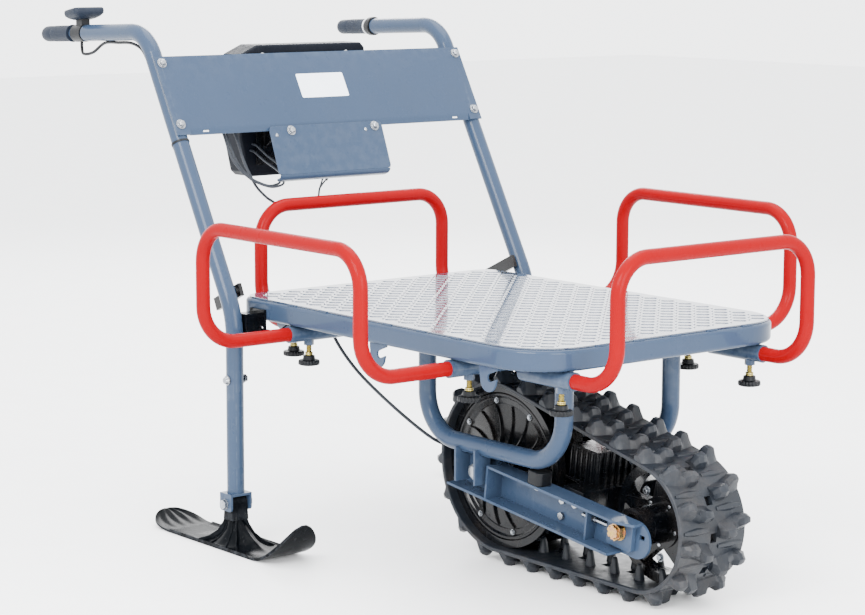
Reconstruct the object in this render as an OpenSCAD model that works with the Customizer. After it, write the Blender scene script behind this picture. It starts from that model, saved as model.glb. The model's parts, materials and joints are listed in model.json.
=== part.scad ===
// Power wheelbarrow: flat steel deck on a single rubber track, four pull-out guard hoops,
// two slanted handle posts that run down into ski legs, control panel and battery box.
// Millimetres. +X is forward, +Y the operator's left, +Z up, the ground is z = 0.

/* [Handle frame] */
// Outside diameter of the two posts
post_d = 32;
// [28:0.5:36]
// Wall of every steel tube
tube_wall = 2;
// [1.5:0.5:3]
// Distance from the middle plane to each post
post_y = 353;
// [300:1:400]
// Height at which the post bends from upright to sloping
bend_z = 424;
// [380:1:460]
// Slope of the upper post, degrees from upright
lean = 29.3;
// [15:0.1:40]
// Height of the handle run at the top bend
handle_z = 929;
// [850:1:1050]
// Rear end of the right grip
grip_x = -650;
// [-720:1:-560]
// Rear end of the left grip
left_grip_x = -615;
// [-720:1:-560]

/* [Deck] */
// Rear edge of the deck
deck_x0 = -63;
// [-120:1:0]
// Front edge of the deck
deck_x1 = 769;
// [600:1:900]
// Deck width
deck_w = 606;
// [500:1:700]
// Top of the deck rim
deck_z = 450;
// [400:1:520]
// Height of the rim section
rim_h = 36;
// [25:0.5:50]
// Width of the rim section
rim_b = 26;
// [15:0.5:40]
// Corner radius at the front, outer
r_front = 110;
// [60:1:160]
// Corner radius at the rear, outer
r_rear = 42;
// [35:1:100]
// Thickness of the deck plate
plate_t = 3;
// [2:0.5:5]

/* [Guard hoops] */
// Outside diameter of the hoop tube
hoop_d = 25;
// [20:0.5:30]
// Height of the sockets' axis
hoop_z = 398;
// [380:1:420]
// Height of the hoops' top bar axis
hoop_top = 606;
// [500:1:700]
// Distance between the legs of a side hoop
side_span = 452;
// [350:1:550]
// Distance between the legs of an end hoop
end_span = 438;
// [350:1:500]
// Middle of the side hoops
side_mid = 323.5;
// [250:0.5:400]
// Plane of the right hoop
right_out = 485;
// [400:1:560]
// Plane of the left hoop
left_out = 520;
// [400:1:560]
// Plane of the front hoop
front_out = 866;
// [840:1:960]
// Plane of the rear hoop
rear_out = -105;
// [-200:1:-100]
// Radial running gap of a hoop tube in its socket
slide_gap = 0.05;
// [0.02:0.01:0.1]

/* [Track] */
// Drive wheel axle, forward position
drive_x = 407.5;
// [380:0.5:430]
// Drive wheel axle height
drive_z = 176;
// [160:0.5:190]
// Inner radius of the belt on the drive wheel
drive_r = 146;
// [130:0.5:160]
// Idler axle, forward position
idler_x = 760;
// [700:0.5:800]
// Idler axle height
idler_z = 134;
// [120:0.5:150]
// Inner radius of the belt on the idler
idler_r = 104;
// [90:0.5:120]
// Belt width
belt_w = 150;
// [120:1:180]
// Belt thickness without lugs
belt_t = 8;
// [6:0.5:12]
// Lug height
lug_h = 22;
// [14:0.5:28]
// Lugs round the belt, in each of the two columns
lugs = 25;
// [20:1:30]

/* [Skis] */
// Ski width
ski_w = 96;
// [80:1:140]
// Height of the ski pivot
ski_z = 79;
// [60:1:100]

/* [Hidden] */
$fn = 64;
xm = 121.5;
ym = 17.5;
pr = post_d/2;
hr = hoop_d/2;
dy = deck_w/2;
sb = sin(lean); cb = cos(lean);
// top corner of the post: sloping line meets the handle run
hslope = 2.4;
top_s = (handle_z - bend_z)/cb;
top_x = -top_s*sb;
low_R = 150;
top_R = 78;
// arm frame: local x runs from the drive axle to the idler axle
arm_a = atan2(drive_z - idler_z, idler_x - drive_x);
arm_d = norm([idler_x - drive_x, drive_z - idler_z]);
// belt path: offset p outward from the inner face
phi = asin((drive_r - idler_r)/arm_d);
STEEL = [0.49, 0.58, 0.69];
RED = [0.93, 0.17, 0.15];
BLACK = [0.07, 0.07, 0.08];
ZINC = [0.78, 0.79, 0.80];
GOLD = [0.80, 0.66, 0.35];
RUBBER = [0.13, 0.13, 0.14];

// One of the names above, or all

// ---------- helpers ----------
module place() { translate([-xm, -ym, 0]) children(); }
// right side modules are drawn with s = -1, left with s = 1
module seg(y, x0, z0, x1, z1, r) {
  translate([x0, y, z0]) rotate([0, atan2(x1 - x0, z1 - z0), 0])
    cylinder(h = norm([x1 - x0, z1 - z0]), r = r);
}
// torus piece in an XZ plane, angles measured from +X towards +Z
module arc(y, cx, cz, R, a0, a1, r) {
  translate([cx, y, cz]) rotate([90, 0, 0]) rotate([0, 0, a0])
    rotate_extrude(angle = a1 - a0) translate([R, 0]) circle(r = r);
}
module ycyl(x, y0, y1, z, r) {
  translate([x, y0, z]) rotate([-90, 0, 0]) cylinder(h = y1 - y0, r = r);
}
module hexprism(h, af) {
  intersection_for(k = [0:2]) rotate([0, 0, k*60]) translate([-af/2, -af, 0]) cube([af, 2*af, h]);
}
// local frame on a post: origin at arc length s up the sloping line, +x out of the front
module on_post(s, y) {
  translate([-s*sb, y, bend_z + s*cb]) rotate([0, -lean, 0]) children();
}

// ---------- posts ----------
seam_z = 270;
low_t = low_R*tan(lean/2);
turn = 90 - lean + hslope;
top_t = top_R*tan(turn/2);
tube_end_x = -495;
function hz(x) = handle_z + (x - top_x)*tan(hslope);
module post_solid(y, r) {
  // upright, lower bend, slope, upper bend, handle run
  seg(y, 0, seam_z, 0, bend_z - low_t, r);
  arc(y, -low_R, bend_z - low_t, low_R, 0, lean, r);
  seg(y, -low_t*sb, bend_z + low_t*cb, top_x + top_t*sb, handle_z - top_t*cb, r);
  arc(y, top_x + top_t*sb - top_R*cb, handle_z - top_t*cb - top_R*sb, top_R,
      lean, 90 + hslope, r);
  seg(y, top_x - top_t*cos(hslope), hz(top_x - top_t*cos(hslope)),
      tube_end_x, hz(tube_end_x), r);
  // faint rings where the bender gripped the tube, at both ends of each bend
  translate([0, y, bend_z - low_t - 1.5]) cylinder(h = 3, r = r + 0.1);
  for (q = [low_t, top_s - top_t]) on_post(q - 1.5, y) cylinder(h = 3, r = r + 0.1);
  xj = top_x - top_t*cos(hslope);
  seg(y, xj + 1.5, hz(xj + 1.5), xj - 1.5, hz(xj - 1.5), r + 0.1);
}
module post(s, gx) {
  y = s*post_y;
  difference() {
    union() {
      post_solid(y, pr);
      // reduced stub for the grip, with a rounded shoulder
      seg(y, tube_end_x + 1, hz(tube_end_x + 1), gx + 5, hz(gx + 5), 11);
    }
    // bore of the upright that takes the ski leg
    translate([0, y, seam_z - 1]) cylinder(h = 101, r = pr - tube_wall);
    // cross hole for the leg bolt
    ycyl(0, y - 30, y + 30, 308, 4.2);
    // blind holes for the panel bolts
    for (q = pan_bolts) on_post(q, y) translate([4, 0, 0]) rotate([0, 90, 0])
      cylinder(h = pr, r = 4);
  }
}
module right_post() { color(STEEL) place() post(-1, grip_x); }
module left_post() { color(STEEL) place() post(1, left_grip_x); }

// ---------- ski legs ----------
ear_y = 23;
module ski_leg(s) {
  y = s*post_y;
  difference() {
    union() {
      translate([0, y, 98]) cylinder(h = seam_z - 98, r = pr);
      translate([0, y, seam_z]) cylinder(h = 78, r = pr - tube_wall);
      // clevis: top plate and two ears
      translate([-18, y - ear_y, 94]) cube([36, 2*ear_y, 4.5]);
      for (k = [-1, 1]) translate([0, y + k*(ear_y - 2), 0]) {
        translate([-18, -2, 72]) cube([36, 4, 22]);
        translate([-12, -2, 66]) cube([24, 4, 6.5]);
        for (i = [-1, 1]) translate([i*12, 2, 72]) rotate([90, 0, 0]) cylinder(h = 4, r = 6);
      }
    }
    ycyl(0, y - 40, y + 40, ski_z, 5);
    ycyl(0, y - 30, y + 30, 308, 4.2);
    translate([0, y, 90]) cylinder(h = 300, r = pr - 2*tube_wall);
  }
}
module right_ski_leg() { color(STEEL) place() ski_leg(-1); }
module left_ski_leg() { color(STEEL) place() ski_leg(1); }
module leg_bolts() {
  color(ZINC) place() for (s = [-1, 1]) {
    y = s*post_y;
    // leg bolt with nut and domed head, axis across the machine
    ycyl(0, y - 22, y + 22, 308, 4.1);
    translate([0, y + s*17, 308]) rotate([-s*90, 0, 0]) cylinder(h = 6, r1 = 8, r2 = 5.5);
    translate([0, y - s*16, 308]) rotate([s*90, 0, 0]) cylinder(h = 1.6, r = 9);
    translate([0, y - s*17.6, 308]) rotate([s*90, 0, 0]) hexprism(6.5, 13);
    translate([0, y + s*16, 308]) rotate([-s*90, 0, 0]) cylinder(h = 1.6, r = 9);
    // ski pivot bolt
    ycyl(0, y - 31, y + 31, ski_z, 4.95);
    translate([0, y + s*23, ski_z]) rotate([-s*90, 0, 0]) cylinder(h = 1.5, r = 9.5);
    translate([0, y + s*24.5, ski_z]) rotate([-s*90, 0, 0]) hexprism(6, 16);
    translate([0, y - s*23, ski_z]) rotate([s*90, 0, 0]) hexprism(8, 16);
  }
}

// ---------- skis ----------
// outline of the running sheet in XZ, then the central hump
module ski(s) {
  y = s*post_y;
  w = ski_w;
  difference() {
    union() {
      // flat runner turned up at both ends
      intersection() {
        union() {
          translate([-150, y - w/2, 0]) cube([255, w, 5]);
          translate([105, y - w/2, 0]) intersection() {
            cube([130, w, 85]);
            translate([0, w, 118]) rotate([90, 0, 0]) difference() {
              cylinder(h = w, r = 118, $fn = 120);
              translate([0, 0, -1]) cylinder(h = w + 2, r = 113, $fn = 120);
            }
          }
          translate([-150, y - w/2, 0]) intersection() {
            translate([-120, 0, 0]) cube([120, w, 48]);
            translate([0, w, 170]) rotate([90, 0, 0]) difference() {
              cylinder(h = w, r = 170, $fn = 120);
              translate([0, 0, -1]) cylinder(h = w + 2, r = 165, $fn = 120);
            }
          }
        }
        // plan outline with rounded ends
        union() {
          translate([-187, y - w/2, -1]) cube([354, w, 120]);
          translate([-187, y, -1]) cylinder(h = 120, r = w/2);
          translate([167, y, -1]) cylinder(h = 120, r = w/2);
        }
      }
      // edge keels along both sides
      for (k = [-1, 1]) translate([-150, y + k*(w/2 - 3) - 3, 0]) cube([255, 6, 12]);
      // hump: wedge with concave flanks up to the pivot block
      difference() {
        translate([-80, y - 17, 3]) cube([160, 34, 80]);
        for (k = [-1, 1]) translate([k*88, y - 20, 83]) rotate([-90, 0, 0])
          cylinder(h = 40, r = 74, $fn = 96);
      }
      difference() {
        translate([-14, y - w/2 + 3, 3]) cube([28, w - 6, 60]);
        for (k = [-1, 1]) translate([-15, y + k*(w/2 + 14), 64]) rotate([0, 90, 0])
          cylinder(h = 30, r = 45, $fn = 96);
      }
      ycyl(0, y - 18, y + 18, ski_z, 12);
      translate([-12, y - 18, 50]) cube([24, 36, 29]);
      // radial stiffening ribs
      for (a = [-52, -28, 28, 52], k = [-1, 1])
        translate([0, y, 0]) rotate([0, 0, k > 0 ? 90 + a : -90 + a])
          translate([0, -1.5, 3]) rotate([90, 0, 0]) translate([0, 0, -3])
            linear_extrude(3) polygon([[0, 0], [w/2 - 3, 0], [w/2 - 3, 3], [12, 52], [0, 60]]);
    }
    ycyl(0, y - 60, y + 60, ski_z, 5);
  }
}
module right_ski() { color(BLACK) place() ski(-1); }
module left_ski() { color(BLACK) place() ski(1); }

// ---------- control panel ----------
pan_s0 = 370;
pan_s1 = 517.5;
pan_bolts = [377.5, 503.5];
cover_y = [-113, 87];
// the cover hangs a little steeper than the panel, from its bolt line
module cover_frame() { on_post(0, 0) translate([pr + 2.5, 0, 352]) rotate([0, 8, 0]) children(); }
module panel() {
  color(STEEL) place() difference() {
    union() {
      on_post(0, 0) {
        translate([pr, -366, pan_s0]) cube([2.5, 732, pan_s1 - pan_s0]);
        for (y = [-366, 336]) translate([pr, y, pan_s0 - 14]) cube([2.5, 30, 15]);
        // lower lip bent back, and the folded upper flange between the posts
        translate([0, 336, 0]) rotate([90, 0, 0]) linear_extrude(672)
          polygon([[pr, pan_s0 + 0.5], [pr + 2.5, pan_s0], [pr - 1.2, pan_s0 - 14],
            [pr - 3.7, pan_s0 - 13.4]]);
        translate([pr - 16, -330, pan_s1 - 2.5]) cube([16.5, 660, 2.5]);
      }
      // tabs behind the cover plate
      cover_frame() for (y = cover_y) translate([-6, y - 14, -9]) cube([6, 28, 16]);
    }
    cover_frame() for (y = cover_y) translate([-8, y, 0]) rotate([0, 90, 0])
      cylinder(h = 12, r = 4.2);
    on_post(0, 0) {
      // slots along the lower lip
      for (y = [-300, 300]) translate([pr - 5, y - 7, pan_s0 - 9]) cube([9, 14, 3.6]);
      for (y = [-post_y, post_y], s = pan_bolts) translate([pr - 1, y, s])
        rotate([0, 90, 0]) cylinder(h = 5, r = 4.2);
      for (y = cover_y) translate([pr - 8, y, pan_s1 - 5]) cylinder(h = 8, r = 3.2);
    }
  }
}
module panel_label() {
  color([0.93, 0.94, 0.95]) place() on_post(0, 0)
    translate([pr + 2.5, -59, 420]) cube([0.4, 112, 51]);
}
module panel_bolt() {
  rotate([0, 90, 0]) {
    translate([0, 0, -14]) cylinder(h = 15, r = 3.9);
    cylinder(h = 1.6, r = 9.5);
    translate([0, 0, 1.6]) cylinder(h = 5.5, r1 = 6.6, r2 = 5.2);
  }
}
module panel_bolts() {
  color(ZINC) place() {
    on_post(0, 0) {
      for (y = [-post_y, post_y], s = pan_bolts) translate([pr + 2.5, y, s]) panel_bolt();
      // small screws down through the upper flange
      for (y = cover_y) translate([pr - 8, y, pan_s1]) {
        translate([0, 0, -10]) cylinder(h = 11, r = 3);
        cylinder(h = 1.2, r = 7);
        translate([0, 0, 1.2]) cylinder(h = 4, r1 = 5, r2 = 4);
      }
    }
    // cover plate bolts pass through the cover and the tabs of the panel
    cover_frame() for (y = cover_y) translate([2.5, y, 0]) panel_bolt();
  }
}
module cover_plate() {
  color(STEEL) place() cover_frame() difference() {
    union() {
      translate([0, -162, -86]) cube([2.5, 268, 96]);
      translate([-14.5, -154, -95]) cube([8.5, 252, 2.5]);
      // rolled lower edge and its return
      translate([-6.5, -154, -86]) rotate([-90, 0, 0]) difference() {
        cylinder(h = 252, r = 9);
        translate([0, 0, -1]) cylinder(h = 254, r = 6.5);
        translate([-20, -20, -1]) cube([20, 40, 260]);
        translate([-20, -20, -1]) cube([40, 20, 260]);
      }
    }
    for (y = cover_y) translate([-3, y, 0]) rotate([0, 90, 0]) cylinder(h = 8, r = 4.2);
  }
}

// ---------- battery box behind the panel ----------
bat_x = -265;
module battery_tray() {
  // upright backing plate with two gussets out to the panel
  color(BLACK) place() {
    translate([bat_x, -118, 668]) cube([3, 232, 210]);
    for (y = [-96, 64]) translate([0, y, 0]) rotate([90, 0, 0]) linear_extrude(4)
      polygon([[bat_x + 3, 700], [pr*cb - 378*sb, bend_z + 378*cb + pr*sb],
        [pr*cb - 498*sb, bend_z + 498*cb + pr*sb], [bat_x + 3, 862]]);
  }
}
module battery_box() {
  color(BLACK) place() translate([bat_x - 65, 0, 0]) rotate([90, 0, 90]) linear_extrude(65)
    polygon([[-128, 645], [-138, 654], [-153, 721], [-153, 881], [-112, 899], [139, 899],
      [149, 889], [149, 659], [136, 645]]);
}

// ---------- deck ----------
// rounded rectangle ring section swept round the deck outline
module rim_section(dir) {
  translate([dir > 0 ? -rim_b : 0, 0]) union() {
    translate([7, 0]) square([rim_b - 14, rim_h]);
    translate([0, 7]) square([rim_b, rim_h - 14]);
    for (u = [7, rim_b - 7], v = [7, rim_h - 7]) translate([u, v]) circle(r = 7);
  }
}
module rim_corner(cx, cy, R, a0) {
  translate([cx, cy, deck_z - rim_h]) rotate([0, 0, a0])
    rotate_extrude(angle = 90) translate([R, 0]) rim_section(1);
}
module deck_frame() {
  color(STEEL) place() union() {
    for (k = [-1, 1]) {
      translate([deck_x0 + r_rear, k*dy, deck_z - rim_h]) rotate([90, 0, 90])
        linear_extrude(deck_x1 - r_front - deck_x0 - r_rear) rim_section(k);
    }
    translate([deck_x1, dy - r_front, deck_z - rim_h]) rotate([90, 0, 0])
      linear_extrude(deck_w - 2*r_front) rim_section(1);
    translate([deck_x0, dy - r_rear, deck_z - rim_h]) rotate([90, 0, 0])
      linear_extrude(deck_w - 2*r_rear) rim_section(-1);
    rim_corner(deck_x1 - r_front, dy - r_front, r_front, 0);
    rim_corner(deck_x1 - r_front, -dy + r_front, r_front, -90);
    rim_corner(deck_x0 + r_rear, dy - r_rear, r_rear, 90);
    rim_corner(deck_x0 + r_rear, -dy + r_rear, r_rear, 180);
  }
}
module rounded_plate(x0, x1, hy, rf, rr, t) {
  linear_extrude(t) union() {
    translate([x0 + rr, -hy]) square([x1 - rf - x0 - rr, 2*hy]);
    translate([x0, -hy + rr]) square([rr + 1, 2*hy - 2*rr]);
    translate([x1 - rf - 1, -hy + rf]) square([rf + 1, 2*hy - 2*rf]);
    for (k = [-1, 1]) {
      translate([x0 + rr, k*(hy - rr)]) circle(r = rr);
      translate([x1 - rf, k*(hy - rf)]) circle(r = rf);
    }
  }
}
module deck_plate() {
  color([0.62, 0.68, 0.76]) place() translate([0, 0, deck_z])
    rounded_plate(deck_x0 + 6, deck_x1 - 6, dy - 6, r_front - 6, r_rear - 6, plate_t);
}
module cross_members() {
  color(STEEL) place() difference() {
   union() {
    // two lengthwise rails that carry the cradles
    for (y = [-125, 125]) translate([deck_x0 + rim_b, y - 15, 420])
      cube([deck_x1 - deck_x0 - 2*rim_b, 30, 30]);
    // cross rails over the sockets
    for (x = [28, 276, 480, 640]) translate([x - 15, -dy + rim_b, 420])
      cube([30, deck_w - 2*rim_b, 30]);
    // hanger strips between the socket tubes and the rails
    for (x = [97.5, 549.5], k = [0, 1]) mirror([0, k, 0]) translate([x - 10, 140, 412])
      cube([20, dy - rim_b - 140, 38]);
    for (k = [-1, 1]) {
      translate([640, k*219 - 10, 412]) cube([94, 20, 38]);
      translate([deck_x0 + rim_b, k*219 - 10, 412]) cube([80, 20, 38]);
    }
   }
   // the socket tubes sit in the hanger strips
   for (k = [0:3]) socket_set(k) translate([-130, 0, 0]) rotate([0, 90, 0])
     cylinder(h = 130, r = socket_r);
  }
}

// ---------- hoop sockets, knobs ----------
socket_r = 15.5;
bore_r = hr + slide_gap;
// local frame of a hoop leg: +x outwards along the socket, origin at the mouth
module legs_right() { for (k = [-1, 1]) translate([side_mid + k*side_span/2, -dy, hoop_z])
  rotate([0, 0, -90]) children(); }
module legs_left() { for (k = [-1, 1]) translate([side_mid + k*side_span/2, dy, hoop_z])
  rotate([0, 0, 90]) children(); }
module legs_front() { for (k = [-1, 1]) translate([deck_x1, k*end_span/2, hoop_z])
  rotate([0, 0, 0]) children(); }
module legs_rear() { for (k = [-1, 1]) translate([rear_mouth, k*end_span/2, hoop_z])
  rotate([0, 0, 180]) children(); }
rear_mouth = -34;
knob_in = 46;
front_knob_in = 32;
module socket_set(k) {
  if (k == 0) legs_right() children();
  if (k == 1) legs_left() children();
  if (k == 2) legs_front() children();
  if (k == 3) legs_rear() children();
}
module socket(kin, len) {
  difference() {
    union() {
      translate([-len, 0, 0]) rotate([0, 90, 0]) cylinder(h = len, r = socket_r);
      // weld nut under the tube
      translate([-kin, 0, -socket_r - 7.5]) hexprism(10, 16);
    }
    translate([-126, 0, 0]) rotate([0, 90, 0]) cylinder(h = 128, r = bore_r);
    translate([-kin, 0, -socket_r - 9]) cylinder(h = 14, r = 5);
  }
}
module hoop_sockets() {
  color(STEEL) place() {
    legs_right() socket(knob_in, 125);
    legs_left() socket(knob_in, 125);
    legs_front() socket(front_knob_in, 125);
    legs_rear() socket(front_knob_in, 108);
  }
}
module knob() {
  // stud, cone hub and lobed disc; origin on the socket axis, hanging down
  difference() {
    union() {
      translate([0, 0, -36]) cylinder(h = 36 - hr - 0.3, r = 4.95);
      translate([0, 0, -42]) cylinder(h = 9, r1 = 11, r2 = 8);
      translate([0, 0, -50]) cylinder(h = 9, r1 = 14, r2 = 11);
      translate([0, 0, -60]) cylinder(h = 10, r = 17.5);
      for (i = [0:7]) rotate([0, 0, i*45]) translate([16.2, 0, -60]) cylinder(h = 10, r = 3.6);
    }
    for (i = [0:7]) rotate([0, 0, i*45 + 22.5]) translate([20.6, 0, -61])
      cylinder(h = 12, r = 3.4);
  }
}
module knob_at(x, y) { color(BLACK) place() translate([x, y, hoop_z]) knob(); }
side_r = side_mid - side_span/2;
side_f = side_mid + side_span/2;
module knob_right_rear() { knob_at(side_r, -dy + knob_in); }
module knob_right_front() { knob_at(side_f, -dy + knob_in); }
module knob_left_rear() { knob_at(side_r, dy - knob_in); }
module knob_left_front() { knob_at(side_f, dy - knob_in); }
module knob_front_right() { knob_at(deck_x1 - front_knob_in, -end_span/2); }
module knob_front_left() { knob_at(deck_x1 - front_knob_in, end_span/2); }
module knob_rear_right() { knob_at(rear_mouth + front_knob_in, -end_span/2); }
module knob_rear_left() { knob_at(rear_mouth + front_knob_in, end_span/2); }

// ---------- hoops ----------
// local frame: u across, +x outwards, legs at u = +-span/2, plane at x = out,
// the straight runs reach inwards to x = -inside
module hoop(span, out, inside, Rb) {
  Rt = 62;
  h = hoop_top - hoop_z;
  for (k = [-1, 1]) translate([0, k*span/2, 0]) {
    translate([-inside, 0, 0]) rotate([0, 90, 0]) cylinder(h = out - Rb + inside, r = hr);
    translate([out - Rb, 0, Rb]) rotate([90, 0, 0]) rotate([0, 0, -90])
      rotate_extrude(angle = 90) translate([Rb, 0]) circle(r = hr);
    translate([out, 0, Rb]) cylinder(h = h - Rb - Rt, r = hr);
    translate([out, -k*Rt, h - Rt]) rotate([90, 0, 90]) rotate([0, 0, k > 0 ? 0 : 90])
      rotate_extrude(angle = 90) translate([Rt, 0]) circle(r = hr);
  }
  translate([out, -span/2 + Rt, h]) rotate([-90, 0, 0]) cylinder(h = span - 2*Rt, r = hr);
}
module right_hoop() { color(RED) place() translate([side_mid, -dy, hoop_z])
  rotate([0, 0, -90]) hoop(side_span, right_out - dy, 100, 68); }
module left_hoop() { color(RED) place() translate([side_mid, dy, hoop_z])
  rotate([0, 0, 90]) hoop(side_span, left_out - dy, 100, 68); }
module front_hoop() { color(RED) place() translate([deck_x1, 0, hoop_z])
  hoop(end_span, front_out - deck_x1, 100, 68); }
module rear_hoop() { color(RED) place() translate([rear_mouth, 0, hoop_z])
  rotate([0, 0, 180]) hoop(end_span, rear_mouth - rear_out, 100, 64); }

// ---------- lashing hooks under the side rails ----------
module hook() {
  // broad J plate, 4 thick, its mouth open to the front
  rotate([90, 0, 0]) translate([0, 0, -2]) linear_extrude(4) difference() {
    hull() {
      translate([-24, -8]) square([46, 8]);
      translate([-2, -23]) circle(r = 19);
    }
    hull() {
      translate([3, -18]) circle(r = 6.5);
      translate([26, -9]) circle(r = 6.5);
    }
  }
}
module hooks() {
  color(STEEL) place() for (x = [352, 645], k = [-1, 1])
    translate([x, k*(dy - 9), deck_z - rim_h]) hook();
}

// ---------- cradles that carry the track ----------
cr_y = 125;
cr_x0 = 276;
cr_x1 = 640;
cr_z = 224;
cr_R = 80;
module cradle(s) {
  y = s*cr_y;
  for (x = [cr_x0, cr_x1]) translate([x, y, cr_z + cr_R]) cylinder(h = 420 - cr_z - cr_R, r = pr);
  arc(y, cr_x0 + cr_R, cr_z + cr_R, cr_R, 180, 270, pr);
  arc(y, cr_x1 - cr_R, cr_z + cr_R, cr_R, 270, 360, pr);
  translate([cr_x0 + cr_R, y, cr_z]) rotate([0, 90, 0])
    cylinder(h = cr_x1 - cr_x0 - 2*cr_R, r = pr);
}
module right_cradle() { color(STEEL) place() cradle(-1); }
module left_cradle() { color(STEEL) place() cradle(1); }
axle_r = 10;
module axle_brackets() {
  color(STEEL) place() for (s = [-1, 1]) difference() {
    union() {
      // web and two outward ribs
      translate([drive_x - 26, s*113 - 2.5, 158]) cube([52, 5, 62]);
      for (x = [drive_x - 28, drive_x + 24]) translate([x, s > 0 ? 113 : -148, 158])
        cube([5, 35, 62]);
    }
    translate([drive_x - 40, s*cr_y, cr_z]) rotate([0, 90, 0]) cylinder(h = 90, r = pr);
    ycyl(drive_x, s*113 - 10, s*113 + 10, drive_z, axle_r);
  }
}

// ---------- brackets tying the posts to the deck ----------
module post_brackets() {
  color(BLACK) place() for (s = [-1, 1]) difference() {
    union() {
      // plate against the rail and the clamp block on the post
      translate([-16, s > 0 ? dy : -dy - 5, 385]) cube([46, 5, 50]);
      translate([-14, s > 0 ? dy : -337, 392]) cube([28, 34, 36]);
    }
    ycyl(21, -400, 400, 401, 4.5);
  }
}
module side_bars() {
  // short black stop bars crossing behind each post
  color(BLACK) place() for (s = [0, 1]) mirror([0, s, 0]) {
    translate([-52, -329, 452]) rotate([0, -25, 0]) translate([-44, -4, -12])
      cube([88, 8, 24]);
    // boss that meets the post
    ycyl(-22, -337, -332, 466, 7);
  }
}

// ---------- grips and controls ----------
module along_handle(s, x) {
  translate([x, s*post_y, hz(x)]) rotate([0, -hslope, 0]) rotate([0, -90, 0]) children();
}
// local z runs rearwards along the handle
module right_grip() {
  color(RUBBER) place() along_handle(-1, -546) difference() {
    union() {
      cylinder(h = 72, r = 15.6);
      translate([0, 0, 72]) cylinder(h = 26, r = 14.6);
      translate([0, 0, 98]) cylinder(h = 5, r1 = 14.6, r2 = 10.5);
      cylinder(h = 4, r = 17);
    }
    translate([0, 0, -1]) cylinder(h = 101.2, r = 11.02);
  }
}
module left_grip() {
  color(RUBBER) place() along_handle(1, -516) difference() {
    union() {
      cylinder(h = 66, r = 15.6);
      translate([0, 0, 66]) cylinder(h = 28, r = 14.6);
      translate([0, 0, 94]) cylinder(h = 5, r1 = 14.6, r2 = 10.5);
    }
    translate([0, 0, -1]) cylinder(h = 95.2, r = 11.02);
  }
}
module grip_collar() {
  color(BLACK) place() along_handle(1, -496) difference() {
    union() {
      cylinder(h = 15, r = 19.5);
      translate([0, 0, 15]) cylinder(h = 4, r = 17);
    }
    translate([0, 0, -1]) cylinder(h = 22, r = 11);
  }
}
module throttle_clamp() {
  color(BLACK) place() along_handle(-1, -498) difference() {
    union() {
      cylinder(h = 34, r = 17);
      // local +x points up
      translate([8, -9, 0]) cube([19, 18, 22]);
      translate([-4, 8, 6]) cube([10, 16, 20]);
    }
    translate([0, 0, -1]) cylinder(h = 36, r = 11);
    // slot for the thumb lever
    translate([-10, 12, 10]) cube([24, 14, 12]);
  }
}
module throttle_lever() {
  // thumb paddle on its own pin line below the housing, inboard side
  color(BLACK) place() along_handle(-1, -498) translate([-3, 0, 0]) union() {
    translate([0, 17, 10.6]) cylinder(h = 10.8, r = 4);
    translate([-3, 17, 10.6]) cube([6, 20, 10.8]);
    translate([-3, 33, 10.6]) cube([6, 6, 26]);
  }
}
module display() {
  color(BLACK) place() along_handle(-1, -498) difference() {
    translate([27, 0, 3]) rotate([0, -8, 0]) union() {
      translate([0, -34, -24]) cube([18, 68, 48]);
      translate([18, -30, -20]) cube([2, 60, 40]);
    }
    translate([0, -60, -60]) cube([27, 120, 140]);
  }
}

// ---------- track ----------
// arm frame: origin on the drive axle, +x to the idler axle
module arm_frame() { translate([drive_x, 0, drive_z]) rotate([0, arm_a, 0]) children(); }
// belt path: offset o from the inner face, arc length p from the top of the drive wheel
r1 = drive_r;
r2 = idler_r;
st = arm_d*cos(phi);
mid = belt_t/2;
a_up = 90 - phi;
arc1 = (180 + 2*phi)*PI/180*(r1 + mid);
arc2 = (180 - 2*phi)*PI/180*(r2 + mid);
path = arc1 + arc2 + 2*st;
pitch = path/lugs;
// frame on the belt's inner face, +z outwards, +x along the belt
module on_belt(p) {
  q = p % path;
  if (q < st) {
    // top run from the drive wheel to the idler
    arm_frame() rotate([0, phi, 0]) translate([q, 0, r1]) children();
  } else if (q < st + arc2) {
    a = (q - st)/(r2 + mid)*180/PI;
    arm_frame() translate([arm_d, 0, 0]) rotate([0, phi + a, 0])
      translate([0, 0, r2]) children();
  } else if (q < 2*st + arc2) {
    arm_frame() translate([arm_d, 0, 0]) rotate([0, 180 - phi, 0])
      translate([q - st - arc2, 0, r2]) children();
  } else {
    a = (q - 2*st - arc2)/(r1 + mid)*180/PI;
    arm_frame() rotate([0, 180 - phi + a, 0]) translate([0, 0, r1]) children();
  }
}
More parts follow.
